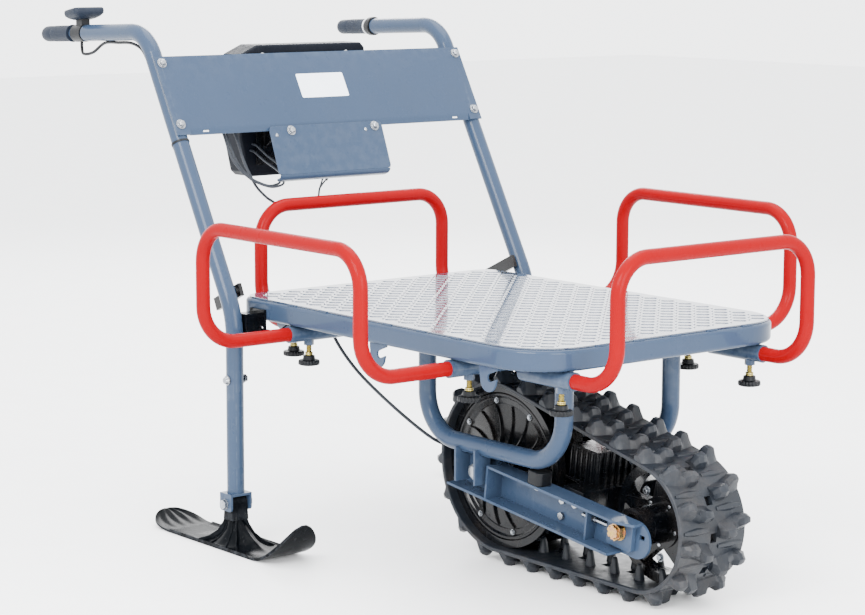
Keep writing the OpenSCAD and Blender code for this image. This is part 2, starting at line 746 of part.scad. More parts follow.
// closed outline of the belt at offset o, corner points every 7.5 degrees
function outline(o) = concat(
  [for (i = [0:22]) let (a = phi + i*(180 - 2*phi)/22)
    [arm_d + (r2 + o)*sin(a), (r2 + o)*cos(a)]],
  [for (i = [0:26]) let (a = 180 - phi + i*(180 + 2*phi)/26)
    [(r1 + o)*sin(a), (r1 + o)*cos(a)]]);
module belt_band(y0, w, i, o) {
  arm_frame() translate([0, y0 + w, 0]) rotate([90, 0, 0]) linear_extrude(w) difference() {
    polygon(outline(o));
    polygon(outline(i));
  }
}
module lug(w) {
  // trapezoid block across the belt, with a stepped face
  translate([0, w/2, 0]) rotate([90, 0, 0]) linear_extrude(w)
    polygon([[-19, -2], [19, -2], [10, lug_h], [-10, lug_h]]);
}
module belt() {
  color(RUBBER) place() union() {
    difference() {
      belt_band(-belt_w/2, belt_w, 0.3, belt_t);
      // row of windows down the middle
      for (i = [0:lugs - 1]) on_belt((i + 0.25)*pitch) translate([-8, -7, -2])
        cube([16, 14, belt_t + 4]);
    }
    for (i = [0:lugs - 1]) {
      on_belt((i + 0.5)*pitch) translate([0, -40, belt_t]) lug(60);
      on_belt(i*pitch) translate([0, 40, belt_t]) lug(60);
      // guide horns inside, a pair at every pitch
      on_belt((i + 0.5)*pitch) for (k = [-1, 1]) translate([0, k*25, 0])
        rotate([180, 0, 0]) translate([0, 0, -2]) cylinder(h = 30, r1 = 9, r2 = 4);
    }
  }
}
wheel_y = 57;
horn_lo = 15;
horn_hi = 35;
module drive_wheel() {
  // barrel with two grooves that the guide horns run in
  color(BLACK) place() translate([drive_x, 0, drive_z]) rotate([90, 0, 0])
    rotate_extrude() difference() {
      union() {
        translate([12, -22]) square([80, 44]);
        translate([80, -12]) square([r1 - 0.4 - 80, 24]);
        translate([80, 38]) square([r1 - 0.4 - 80, wheel_y - 38]);
        translate([80, -wheel_y]) square([r1 - 0.4 - 80, wheel_y - 38]);
        translate([80, -45]) square([28, 90]);
        translate([10.05, -40]) square([20, 80]);
      }
      // recess for the ribbed covers
      translate([0, 48]) square([133, 20]);
      translate([0, -68]) square([133, 20]);
    }
}
module wheel_covers() {
  color(BLACK) place() for (s = [-1, 1]) translate([drive_x, s*48, drive_z])
    rotate([s*-90, 0, 0]) {
      rotate_extrude() union() {
        translate([24, 0]) square([108, 3.5]);
        translate([126, 3]) square([6, 7]);
        translate([24, 3]) square([5, 9]);
      }
      // radial fins
      for (i = [0:15]) rotate([0, 0, i*22.5]) translate([28, -1.2, 3]) cube([86, 2.4, 6]);
      for (i = [0:7]) rotate([0, 0, i*45 + 11.25]) translate([118, 0, 3]) cylinder(h = 3, r = 6.5);
    }
}
module cover_screws() {
  color(ZINC) place() for (s = [-1, 1]) translate([drive_x, s*48, drive_z])
    rotate([s*-90, 0, 0]) for (i = [0:7]) rotate([0, 0, i*45 + 11.25]) translate([118, 0, 6]) {
      cylinder(h = 1, r = 5.2);
      translate([0, 0, 1]) cylinder(h = 2.4, r1 = 4, r2 = 3.2);
    }
}
module drive_axle() {
  // fixed axle with its two nuts and washers outside the brackets
  color(ZINC) place() translate([drive_x, 0, drive_z]) rotate([90, 0, 0]) {
    translate([0, 0, -131]) cylinder(h = 262, r = axle_r);
    for (k = [0, 1]) mirror([0, 0, k]) {
      translate([0, 0, 115.5]) cylinder(h = 2.5, r = 17);
      translate([0, 0, 118]) hexprism(9, 27);
    }
  }
}
module idler() {
  // hub drum and one wide spoked wheel that runs between the guide horns
  color(BLACK) place() translate([idler_x, 0, idler_z]) rotate([90, 0, 0]) {
    difference() {
      union() {
        translate([0, 0, -80]) cylinder(h = 160, r = 34);
        translate([0, 0, -14.5]) difference() {
          cylinder(h = 29, r = r2 - 0.4);
          translate([0, 0, -1]) cylinder(h = 31, r = r2 - 17);
        }
        // tapered spokes with flanged roots
        for (i = [0:4]) rotate([0, 0, i*72 + 18]) translate([0, 0, -11]) linear_extrude(22)
          polygon([[20, -26], [r2 - 12, -8], [r2 - 12, 8], [20, 26]]);
        for (z = [-14.5, 9.5]) translate([0, 0, z]) cylinder(h = 5, r = 44);
      }
      translate([0, 0, -81]) cylinder(h = 162, r = 10.05);
      for (k = [-1, 1]) translate([0, 0, k*81 - 12]) cylinder(h = 24, r = 24);
    }
  }
}
arm_y = 95;
module idler_axle() {
  color(GOLD) place() translate([idler_x, 0, idler_z]) rotate([90, 0, 0]) {
    translate([0, 0, -124]) cylinder(h = 248, r = axle_r);
    for (k = [0, 1]) mirror([0, 0, k]) translate([0, 0, 107.5]) difference() {
      union() {
        cylinder(h = 2, r = 16);
        translate([0, 0, 2]) hexprism(10, 27);
        translate([0, 0, 12]) cylinder(h = 5, r = 11.8);
      }
      for (a = [0, 60, 120]) rotate([0, 0, a]) translate([-20, -2, 12.5]) cube([40, 4, 6]);
    }
  }
}
module tension_blocks() {
  color(STEEL) place() for (s = [-1, 1]) arm_frame() translate([arm_d, s*(arm_y + 7.5), 0])
    difference() {
      union() {
        translate([-30, -5, -24]) cube([60, 10, 37]);
        translate([-24, -5, -30]) cube([48, 10, 49]);
        for (a = [-1, 1], b = [-24, 13]) translate([a*24, 5, b]) rotate([90, 0, 0])
          cylinder(h = 10, r = 6);
      }
      ycyl(0, -10, 10, 0, axle_r);
    }
}
module tension_rods() {
  color(ZINC) place() for (s = [-1, 1]) arm_frame() translate([arm_d, s*(arm_y + 9.5), 0]) {
    translate([-92, 0, 0]) rotate([0, 90, 0]) cylinder(h = 62, r = 4);
    // a nut each side of the stiffener plate
    for (x = [-79.5, -67]) translate([x, 0, 0]) rotate([0, 90, 0]) hexprism(7, 11);
    // two flange bolts on the web
    for (q = [[-150, 6], [-150, -22], [-118, 8]]) translate([q[0], -s*7, q[1]])
      rotate([-s*90, 0, 0]) hexprism(6, 12);
  }
}
arm_h = 64;
arm_off = -8;
module arm(s) {
  // channel open outwards: web, two flanges, end plate, rounded nose
  z0 = arm_off - arm_h/2;
  fy = s > 0 ? arm_y : -arm_y - 38;
  difference() {
    union() {
      arm_frame() {
        translate([-34, s*arm_y - 2.5, z0]) cube([arm_d + 64, 5, arm_h]);
        ycyl(arm_d + 30, s*arm_y - 2.5, s*arm_y + 2.5, arm_off, arm_h/2);
        ycyl(-34, s*arm_y - 2.5, s*arm_y + 2.5, arm_off, arm_h/2);
        // lower flange, from behind the bracket to the front block
        translate([-60, fy, z0]) cube([arm_d + 60, 38, 4.5]);
        ycyl(-60, fy, fy + 38, z0 + 2.25, 2.25);
        // upper flange starts in front of the bracket
        translate([40, fy, z0 + arm_h - 4.5]) cube([arm_d + 2, 38, 4.5]);
        translate([40, fy, z0]) cube([4.5, 38, arm_h]);
        // stiffener behind the tension block
        translate([arm_d - 72, fy + (s > 0 ? 0 : 14), z0]) cube([4.5, 24, arm_h]);
      }
    }
    arm_frame() {
      ycyl(0, s*arm_y - 10, s*arm_y + 10, 0, axle_r + 0.05);
      // bumper stud and tension rod
      translate([160, s*116, 0]) cylinder(h = 60, r = 4.2);
      translate([arm_d - 80, s*(arm_y + 9.5), 0]) rotate([0, 90, 0]) cylinder(h = 20, r = 4.2);
      // slots: idler axle slot and the inspection slot
      translate([arm_d - 16, s*arm_y - 5, -axle_r - 0.5]) cube([32, 10, 2*axle_r + 1]);
      translate([arm_d + 38, s*arm_y - 5, -4]) cube([12, 10, 8]);
      // tapered front ends of the flanges
      for (z = [z0 - 1, z0 + arm_h - 6]) translate([arm_d + 10, s*(arm_y + 38), z])
        rotate([0, 0, s*-28]) translate([0, s > 0 ? 0 : -60, 0])
          cube([120, 60, 8]);
    }
  }
}
module right_arm() { color(STEEL) place() arm(-1); }
module left_arm() { color(STEEL) place() arm(1); }
module bumpers() {
  // rubber stops on the arms, just under the cradle tubes
  color(RUBBER) place() for (s = [-1, 1]) arm_frame() translate([160, s*116, arm_off + arm_h/2]) {
    cylinder(h = 24.5, r = 18);
    translate([0, 0, -12]) cylinder(h = 14, r = 4);
    translate([0, 0, -10.5]) hexprism(6, 13);
  }
}
module cross_box() {
  // black beam between the arms, with the shelf of the control unit
  color(BLACK) place() arm_frame() union() {
    translate([195, -92.5, -34]) cube([50, 185, 64]);
    translate([152, -50, 24]) cube([60, 112, 6]);
  }
}
module motor() {
  // finned box on the shelf, behind the idler
  color(BLACK) place() arm_frame() {
    translate([154, -42, 30]) cube([66, 98, 56]);
    for (i = [0:6]) translate([219, -40 + i*15, 30]) cube([6, 3, 54]);
    for (i = [0:4]) translate([158 + i*13, -47, 30]) cube([3, 6, 52]);
  }
}

// ---------- cables ----------
// swept eight-sided tube through a list of points
function unit(v) = v/norm(v);
module cable(pts, r) {
  n = len(pts);
  dirs = [for (i = [0:n - 1]) unit(i == 0 ? pts[1] - pts[0]
    : i == n - 1 ? pts[n - 1] - pts[n - 2] : pts[i + 1] - pts[i - 1])];
  ring = [for (i = [0:n - 1]) let (d = dirs[i],
    e = unit(cross(d, abs(d[2]) > 0.9 ? [0, 1, 0] : [0, 0, 1])), f = cross(d, e))
    for (k = [0:7]) pts[i] + r*(cos(k*45)*e + sin(k*45)*f)];
  faces = concat(
    [[for (k = [0:7]) k]],
    [for (i = [0:n - 2], k = [0:7]) each [
      [i*8 + k, (i + 1)*8 + k, i*8 + (k + 1) % 8],
      [i*8 + (k + 1) % 8, (i + 1)*8 + k, (i + 1)*8 + (k + 1) % 8]]],
    [[for (k = [7:-1:0]) (n - 1)*8 + k]]);
  polyhedron(points = ring, faces = faces, convexity = 6);
}
// smooth curve through control points
function cr(p0, p1, p2, p3, t) = 0.5*((2*p1) + (p2 - p0)*t + (2*p0 - 5*p1 + 4*p2 - p3)*t*t
  + (3*p1 - p0 - 3*p2 + p3)*t*t*t);
function smooth(c, m) = let (n = len(c)) [for (i = [0:n - 2], j = [0:m - 1])
  cr(c[max(i - 1, 0)], c[i], c[i + 1], c[min(i + 2, n - 1)], j/m), c[n - 1]];
// a point beside a post: arc length s, b behind the tube axis, e to the side
function pp(s, b, y) = [-s*sb - b*cb, y, bend_z + s*cb - b*sb];
module throttle_cable() {
  py = -post_y;
  color(BLACK) place() cable(smooth([[-515, py, hz(-515) - 17.1], [-515, py, 892],
    [-500, py - 5, 880], [-468, py - 3, 884], [-430, py, hz(-430) - pr - 4],
    [-380, py, hz(-380) - pr - 3.6], [-335, py, hz(-335) - pr - 5], [-300, py, 896.5],
    [-279, py, 876], pp(500, pr + 3.6, py), pp(390, pr + 3.2, py),
    pp(300, pr + 3.2, py), pp(200, pr + 3.2, py), pp(100, pr + 3.4, py + 4),
    pp(40, pr + 6, py + 14), [-42, py + 26, 424], [-34, -300, 400], [4, -268, 388],
    [24, -250, 402], [28, -246, 419.9]], 4), 3);
}
module harness() {
  color([0.2, 0.2, 0.22]) place() {
    // loop from the back of the panel to the face of the battery box, behind the cover plate
    cable(smooth([pp(430, -15.8, -252), pp(428, -6, -252), pp(410, 3, -252),
      pp(360, 5, -249), pp(318, 5, -248), pp(289, 5, -237), pp(272, 5, -223),
      pp(262, 5, -211), pp(251, 6, -184), pp(252, 10, -160), pp(262, 18, -138),
      [-170, -128, 660], [-220, -130, 680], [-250, -131, 694], [-264.8, -131, 696]], 4), 2.2);
    cable(smooth([pp(430, -15.8, -240), pp(428, -6, -240), pp(410, 6, -240),
      pp(360, 11, -238), pp(318, 11, -236), pp(292, 11, -228), pp(276, 11, -217),
      pp(266, 11, -205), pp(256, 12, -181), pp(258, 16, -160), pp(268, 24, -140),
      [-172, -122, 668], [-220, -124, 690], [-250, -126, 706], [-264.8, -126, 708]], 4), 2.2);
    // lead down behind the rear hoop and up to the first cross rail
    cable(smooth([pp(430, -15.8, -228), pp(428, -6, -228), pp(410, 9, -226),
      pp(360, 18, -213), pp(314, 18, -213), pp(279, 18, -208), [-154, -193, 637],
      [-162, -166, 616], [-167, -141, 600], [-169, -152, 586], [-169, -168, 566],
      [-168, -174, 540], [-166, -172, 500], [-165, -170, 460], [-160, -169, 420],
      [-130, -168, 392], [-60, -168, 390], [-14, -168, 402], [2, -168, 426],
      [12.8, -168, 434]], 4), 2.6);
    // thin pair from the cover plate, joining the same drop
    cable(smooth([cp(-60, -0.2, -52), cp(-74, -8, -52), cp(-95, -20, -50), [-146, -44, 647],
      [-163, -40, 624], [-165, -48, 601], [-166, -100, 596], [-172, -134, 588],
      [-174, -156, 560], [-174, -160, 480], [-168, -157, 420], [-130, -154, 390],
      [-60, -154, 388], [-14, -154, 400], [2, -154, 424], [12.9, -154, 432]], 3), 1.6);
    cable(smooth([cp(-60, -0.2, -40), cp(-74, -8, -40), cp(-95, -22, -38), [-148, -32, 646],
      [-166, -36, 626], [-169, -44, 604], [-170, -100, 600], [-178, -128, 592],
      [-180, -148, 560], [-180, -154, 480], [-173, -151, 420], [-132, -148, 388],
      [-60, -148, 386], [-14, -148, 398], [2, -148, 422], [12.9, -148, 430]], 3), 1.6);
  }
}
// a point in the cover plate's frame: z along it, x out of its face
function cp(z, x, y) = let (u = pr + 2.5 + x*cos(8) + z*sin(8), v = 352 - x*sin(8) + z*cos(8))
  [-v*sb + u*cb, y, bend_z + v*cb + u*sb];
module motor_lead() {
  // from a cross rail down round the back of the belt to the far end of the axle
  color([0.3, 0.34, 0.4]) place() cable(smooth([[28, -146, 419.9], [27, -147, 404],
    [27, -148, 372], [60, -127, 316], [116, -101, 263], [184, -66, 208], [204, -30, 181],
    [212, 16, 168], [214, 60, 162], [228, 84, 164], [262, 85, 176], [320, 84, 205],
    [366, 84, 212], [391.9, 84, 191.6], [400.3, 84, 183.2]], 4), 3.2);
}
module cable_ties() {
  color(BLACK) place() on_post(346, -post_y) difference() {
    union() {
      cylinder(h = 4, r = pr + 1.2);
      translate([-pr - 7, -4, 0]) cube([8, 8, 4]);
    }
    translate([0, 0, -1]) cylinder(h = 6, r = pr);
    translate([-pr - 3.2, 0, -1]) cylinder(h = 6, r = 3);
  }
}

right_post();
left_post();
right_ski_leg();
left_ski_leg();
leg_bolts();
right_ski();
left_ski();
panel();
panel_label();
panel_bolts();
cover_plate();
battery_box();
battery_tray();
deck_frame();
deck_plate();
cross_members();
hoop_sockets();
hooks();
right_cradle();
left_cradle();
axle_brackets();
post_brackets();
side_bars();
throttle_cable();
harness();
motor_lead();
cable_ties();
right_grip();
left_grip();
grip_collar();
throttle_clamp();
throttle_lever();
display();
right_hoop();
left_hoop();
front_hoop();
rear_hoop();
knob_right_rear();
knob_right_front();
knob_left_rear();
knob_left_front();
knob_front_right();
knob_front_left();
knob_rear_right();
knob_rear_left();
drive_wheel();
wheel_covers();
cover_screws();
drive_axle();
idler();
idler_axle();
tension_blocks();
tension_rods();
right_arm();
left_arm();
cross_box();
motor();
belt();
bumpers();
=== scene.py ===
import bpy, bmesh, json, math
from mathutils import Vector, Matrix

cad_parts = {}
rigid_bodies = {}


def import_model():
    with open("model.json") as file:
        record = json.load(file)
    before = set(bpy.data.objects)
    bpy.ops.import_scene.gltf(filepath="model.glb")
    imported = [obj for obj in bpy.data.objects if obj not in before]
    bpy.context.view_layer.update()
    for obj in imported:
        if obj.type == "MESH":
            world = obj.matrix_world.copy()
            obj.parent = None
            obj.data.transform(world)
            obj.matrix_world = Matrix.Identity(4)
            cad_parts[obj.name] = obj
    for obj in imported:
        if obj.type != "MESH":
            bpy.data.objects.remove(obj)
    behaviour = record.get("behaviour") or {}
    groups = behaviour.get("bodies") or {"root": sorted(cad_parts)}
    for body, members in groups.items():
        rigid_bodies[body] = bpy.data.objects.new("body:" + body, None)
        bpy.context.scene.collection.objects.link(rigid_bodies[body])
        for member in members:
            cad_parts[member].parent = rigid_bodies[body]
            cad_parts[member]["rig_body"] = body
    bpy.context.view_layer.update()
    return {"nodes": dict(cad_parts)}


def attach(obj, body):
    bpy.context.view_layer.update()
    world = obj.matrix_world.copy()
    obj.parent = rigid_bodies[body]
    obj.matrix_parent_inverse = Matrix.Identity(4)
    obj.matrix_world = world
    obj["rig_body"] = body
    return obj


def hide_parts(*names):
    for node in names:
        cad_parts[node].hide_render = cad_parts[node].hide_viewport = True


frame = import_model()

# ---------------------------------------------------------------- camera
AZ, EL, ROLL = math.radians(50.902), math.radians(8.536), math.radians(0.181)
EYE = (3.49414, -2.84543, 1.09698)
LENS_MM, SENSOR_MM = 101.38566, 36.0
cam_data = bpy.data.cameras.new("camera")
cam_data.sensor_fit = "HORIZONTAL"
cam_data.sensor_width = SENSOR_MM
cam_data.lens = LENS_MM
cam_data.clip_end = 60.0
cam = bpy.data.objects.new("camera", cam_data)
bpy.context.scene.collection.objects.link(cam)
right = Vector((math.cos(AZ), math.sin(AZ), 0))
back = Vector((math.sin(AZ) * math.cos(EL), -math.cos(AZ) * math.cos(EL), math.sin(EL)))
up = back.cross(right)
rolled_right = right * math.cos(ROLL) + up * math.sin(ROLL)
rolled_up = up * math.cos(ROLL) - right * math.sin(ROLL)
turn = Matrix((rolled_right, rolled_up, back)).transposed()
cam.matrix_world = Matrix.Translation(EYE) @ turn.to_4x4()
bpy.context.scene.camera = cam

# ---------------------------------------------------------------- helpers
NODES = frame["nodes"]
ROOT = "chassis"
MM = 0.001
ORIGIN_X, ORIGIN_Y = 121.5, 17.5
coll = bpy.context.scene.collection


def P(v):
    # machine millimetres to the shared frame in metres
    return Vector(((v[0] - ORIGIN_X) * MM, (v[1] - ORIGIN_Y) * MM, v[2] * MM))


def T(x=0, y=0, z=0):
    return Matrix.Translation((x, y, z))


def RX(a):
    return Matrix.Rotation(math.radians(a), 4, "X")


def RY(a):
    return Matrix.Rotation(math.radians(a), 4, "Y")


def RZ(a):
    return Matrix.Rotation(math.radians(a), 4, "Z")


class Part:
    """Vertices and faces in machine millimetres."""

    def __init__(self):
        self.v, self.f = [], []

    def add(self, v, f, mt=None):
        n = len(self.v)
        self.v += [(mt @ Vector(p)) if mt is not None else Vector(p) for p in v]
        self.f += [tuple(i + n for i in q) for q in f]
        return self

    def join(self, other, mt=None):
        return self.add(other.v, other.f, mt)


def skin(n, rings, closed=False):
    # quads between rings of n points, with a cap at each end unless the rings meet
    f = []
    for i in range(rings if closed else rings - 1):
        a, b = i * n, ((i + 1) % rings) * n
        f += [(a + k, a + (k + 1) % n, b + (k + 1) % n, b + k) for k in range(n)]
    if not closed:
        f += [tuple(range(n - 1, -1, -1)), tuple((rings - 1) * n + k for k in range(n))]
    return f


def rounded(x0, x1, y0, y1, r, n):
    # outline of a rectangle with rounded corners, n steps to a corner
    out = []
    for cx, cy, a0 in ((x1 - r, y1 - r, 0), (x0 + r, y1 - r, 90), (x0 + r, y0 + r, 180),
                       (x1 - r, y0 + r, 270)):
        for k in range(n + 1):
            a = math.radians(a0 + 90 * k / n)
            out.append((cx + r * math.cos(a), cy + r * math.sin(a)))
    return out


def box(x0, x1, y0, y1, z0, z1):
    p = Part()
    v = [(x, y, z) for x in (x0, x1) for y in (y0, y1) for z in (z0, z1)]
    f = [(0, 1, 3, 2), (4, 6, 7, 5), (0, 4, 5, 1), (2, 3, 7, 6), (0, 2, 6, 4), (1, 5, 7, 3)]
    return p.add(v, f)


def lathe(prof, n=48, closed=False):
    # profile of (radius, height) turned round z; ends are capped unless closed
    v = [(r * math.cos(2 * math.pi * k / n), r * math.sin(2 * math.pi * k / n), h)
         for r, h in prof for k in range(n)]
    return Part().add(v, skin(n, len(prof), closed))


def prism(poly, z0, z1):
    v = [(x, y, z) for z in (z0, z1) for x, y in poly]
    return Part().add(v, skin(len(poly), 2))


def sweep(pts, r, n):
    # round tube along points; r is a number or a function of 0..1
    pts = [Vector(q) for q in pts]
    m = len(pts)
    tang = [(pts[min(i + 1, m - 1)] - pts[max(i - 1, 0)]).normalized() for i in range(m)]
    ref = Vector((0, 0, 1)) if abs(tang[0].z) < 0.9 else Vector((0, 1, 0))
    e = (ref - tang[0] * ref.dot(tang[0])).normalized()
    v = []
    for i in range(m):
        e = (e - tang[i] * e.dot(tang[i])).normalized()
        g = tang[i].cross(e)
        rr = r(i / (m - 1)) if callable(r) else r
        for k in range(n):
            a = 2 * math.pi * k / n
            v.append(pts[i] + e * math.cos(a) * rr + g * math.sin(a) * rr)
    return Part().add(v, skin(n, m))


def hexa(af, h, cham=1.0):
    # hexagon head with chamfered top, standing on z = 0
    r = af / math.sqrt(3)
    return lathe([(r, 0), (r, h - cham), (r - cham, h)], 6)


def spline(c, m):
    # smooth curve through the points c, m steps between each two
    out = []
    n = len(c)
    c = [Vector(q) for q in c]
    for i in range(n - 1):
        p0, p1, p2, p3 = c[max(i - 1, 0)], c[i], c[i + 1], c[min(i + 2, n - 1)]
        for j in range(m):
            t = j / m
            out.append(0.5 * (2 * p1 + (p2 - p0) * t + (2 * p0 - 5 * p1 + 4 * p2 - p3) * t * t
                              + (3 * p1 - p0 - 3 * p2 + p3) * t ** 3))
    return out + [c[-1]]


def make(name, part, material, body, replaces=(), angle=40, bevel=0, seg=2):
    # a piece from a Part; it rides on a body and may stand for CAD nodes
    me = bpy.data.meshes.new(name)
    me.from_pydata([P(v) for v in part.v], [], part.f)
    bm = bmesh.new()
    bm.from_mesh(me)
    bmesh.ops.recalc_face_normals(bm, faces=bm.faces)
    bm.to_mesh(me)
    bm.free()
    return dress(name, me, material, body, replaces, angle, bevel, seg)


def dress(name, me, material, body, replaces, angle, bevel, seg):
    # shading, eased edges, and the calls that place the piece in the frame
    me.polygons.foreach_set("use_smooth", [True] * len(me.polygons))
    me.set_sharp_from_angle(angle=math.radians(angle))
    ob = bpy.data.objects.new(name, me)
    coll.objects.link(ob)
    me.materials.append(material)
    if bevel:
        b = ob.modifiers.new("bevel", "BEVEL")
        b.width = bevel * MM
        b.segments = seg
        b.limit_method = "ANGLE"
        b.angle_limit = math.radians(max(angle - 8, 20))
        b.harden_normals = False
        w = ob.modifiers.new("wn", "WEIGHTED_NORMAL")
        w.keep_sharp = False
        me.polygons.foreach_set("use_smooth", [True] * len(me.polygons))
        for e in me.edges:
            e.use_edge_sharp = False
    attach(ob, body)
    if replaces:
        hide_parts(*replaces)
    return ob


def body_of_node(node):
    return NODES[node]["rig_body"]


def bevelled(node, material, width):
    # a copy of a CAD node with its hard edges eased
    src = NODES[node].data
    bm = bmesh.new()
    bm.from_mesh(src)
    bmesh.ops.remove_doubles(bm, verts=bm.verts, dist=2e-6)
    bmesh.ops.dissolve_limit(bm, angle_limit=math.radians(0.6), verts=bm.verts, edges=bm.edges)
    verts = [v.co.copy() for v in bm.verts]
    bm.verts.index_update()
    faces = [[v.index for v in f.verts] for f in bm.faces]
    bm.free()
    me = bpy.data.meshes.new(node + "_eased")
    me.from_pydata(verts, [], faces)
    return dress(node + "_eased", me, material, body_of_node(node), (node,), 38, width, 2)


# ---------------------------------------------------------------- materials
def srgb(r, g, b):
    return tuple((c / 12.92 if c <= 0.04045 else ((c + 0.055) / 1.055) ** 2.4)
                 for c in (r / 255, g / 255, b / 255)) + (1.0,)


DIM = 0.24
M = {}


def material(name, c1, c2, rough=(0.3, 0.4), metal=0.0, coat=0.0, coat_rough=0.06,
             blotch=9.0, bumps=((900, 0.00004),), dirt=None, dirt_amount=0.3, dirt_scale=14.0,
             scratch=0.0, spec=0.5, wear=None, wear_amount=0.0, dim=DIM):
    # the set is lit brightly, so every pigment is a fraction of its daylight value
    c1, c2, dirt, wear = [c and tuple(q * dim for q in c[:3]) + (1.0,)
                          for c in (c1, c2, dirt, wear)]
    spec, coat = spec * max(dim, 0.3), coat * max(dim, 0.3)
    mt = bpy.data.materials.new(name)
    mt.use_nodes = True
    nt = mt.node_tree
    nt.nodes.clear()
    N, L = nt.nodes.new, nt.links.new
    out = N("ShaderNodeOutputMaterial")
    bs = N("ShaderNodeBsdfPrincipled")
    L(bs.outputs[0], out.inputs[0])
    bs.inputs["Metallic"].default_value = metal
    bs.inputs["Coat Weight"].default_value = coat
    bs.inputs["Coat Roughness"].default_value = coat_rough
    bs.inputs["Specular IOR Level"].default_value = spec
    tc = N("ShaderNodeTexCoord")

    def noise(scale, detail=4.0, rough_=0.55, stretch=None):
        t = N("ShaderNodeTexNoise")
        t.inputs["Scale"].default_value = scale
        t.inputs["Detail"].default_value = detail
        t.inputs["Roughness"].default_value = rough_
        if stretch:
            mp = N("ShaderNodeMapping")
            mp.inputs["Scale"].default_value = stretch
            mp.inputs["Rotation"].default_value = (0.5, 0.3, 0.4)
            L(tc.outputs["Object"], mp.inputs[0])
            L(mp.outputs[0], t.inputs["Vector"])
        else:
            L(tc.outputs["Object"], t.inputs["Vector"])
        return t.outputs["Fac"]

    def ramp(src, lo, hi, a=0.0, b=1.0):
        t = N("ShaderNodeMapRange")
        t.inputs["From Min"].default_value = lo
        t.inputs["From Max"].default_value = hi
        t.inputs["To Min"].default_value = a
        t.inputs["To Max"].default_value = b
        t.clamp = True
        L(src, t.inputs["Value"])
        return t.outputs["Result"]

    def mix(fac, a, b):
        t = N("ShaderNodeMix")
        t.data_type = "RGBA"
        L(fac, t.inputs[0])
        for s, c in ((t.inputs[6], a), (t.inputs[7], b)):
            if isinstance(c, tuple):
                s.default_value = c
            else:
                L(c, s)
        return t.outputs[2]

    def mul(a, b):
        t = N("ShaderNodeMath")
        t.operation = "MULTIPLY"
        for s, c in ((t.inputs[0], a), (t.inputs[1], b)):
            if isinstance(c, float):
                s.default_value = c
            else:
                L(c, s)
        return t.outputs[0]

    def plus(a, b):
        t = N("ShaderNodeMath")
        t.operation = "ADD"
        t.use_clamp = True
        L(a, t.inputs[0])
        L(b, t.inputs[1])
        return t.outputs[0]

    col = mix(ramp(noise(blotch, 5.0), 0.32, 0.68), c1, c2)
    rgh = ramp(noise(blotch * 6, 6.0), 0.3, 0.7, rough[0], rough[1])
    if scratch:
        s = ramp(noise(220, 2.0, 0.5, (1.0, 1.0, 0.03)), 0.66, 0.72)
        s2 = ramp(noise(200, 2.0, 0.5, (0.03, 1.0, 1.0)), 0.68, 0.74)
        sc = mul(plus(s, s2), float(scratch))
        rgh = plus(rgh, mul(sc, 0.25))
        lighter = tuple(min(1.0, c * 1.35 + 0.02) for c in c1[:3]) + (1.0,)
        col = mix(mul(sc, 0.6), col, lighter)
    if wear:
        g = N("ShaderNodeNewGeometry")
        w = mul(ramp(g.outputs["Pointiness"], 0.53, 0.60), ramp(noise(60, 5.0), 0.42, 0.62))
        w = mul(w, float(wear_amount))
        col = mix(w, col, wear)
        rgh = plus(rgh, mul(w, 0.2))
    if dirt:
        d = mul(ramp(noise(dirt_scale, 8.0, 0.62), 0.47, 0.66),
                ramp(noise(170, 5.0, 0.7), 0.3, 0.6))
        d = mul(d, float(dirt_amount))
        col = mix(d, col, dirt)
        rgh = plus(rgh, mul(d, 0.35))
    L(col, bs.inputs["Base Color"])
    L(rgh, bs.inputs["Roughness"])
    prev = None
    for scale, dist in bumps:
        b = N("ShaderNodeBump")
        b.inputs["Strength"].default_value = 1.0
        b.inputs["Distance"].default_value = dist
        L(noise(scale, 3.0), b.inputs["Height"])
        if prev is not None:
            L(prev, b.inputs["Normal"])
        prev = b.outputs[0]
    if prev is not None:
        L(prev, bs.inputs["Normal"])
    M[name] = mt


PAINT1, PAINT2 = (0.095, 0.158, 0.283, 1), (0.087, 0.148, 0.268, 1)
material("frame_paint", PAINT1, PAINT2, (0.24, 0.34), coat=0.45, blotch=4, spec=0.3,
         bumps=((650, 0.00002), (90, 0.00004)), scratch=0.2, dirt=srgb(120, 118, 112),
         dirt_amount=0.05, wear=srgb(150, 168, 192), wear_amount=0.35)
material("deck_paint", (0.125, 0.185, 0.30, 1), (0.115, 0.172, 0.285, 1), (0.10, 0.17), coat=2.4,
         coat_rough=0.05, blotch=6, spec=1.2, bumps=((500, 0.00002), (60, 0.00008)), scratch=0.2,
         dirt=srgb(140, 140, 138), dirt_amount=0.06)
material("hoop_paint", (0.74, 0.0004, 0.010, 1), (0.68, 0.0003, 0.009, 1), (0.24, 0.34), coat=0.12,
         coat_rough=0.1, blotch=6, spec=0.08, bumps=((600, 0.00002), (80, 0.00005)), scratch=0.1,
         wear=srgb(240, 76, 64), wear_amount=0.2)
material("zinc", srgb(214, 218, 224), srgb(190, 196, 204), (0.2, 0.32), metal=1.0, dim=0.45,
         blotch=60, bumps=((1400, 0.00004), (200, 0.00008)), scratch=0.6, dirt=srgb(90, 84, 76),
         dirt_amount=0.25)
material("yellow_zinc", srgb(232, 196, 110), srgb(222, 166, 132), (0.22, 0.36), metal=1.0,
         blotch=70, bumps=((1200, 0.00004), (220, 0.00006)), dirt=srgb(206, 150, 160),
         dirt_amount=0.5, dirt_scale=70, dim=0.5)
material("brass", srgb(222, 206, 128), srgb(206, 184, 104), (0.2, 0.32), metal=1.0, blotch=80,
         bumps=((1200, 0.00003),), dirt=srgb(90, 78, 50), dirt_amount=0.2, dim=0.45)
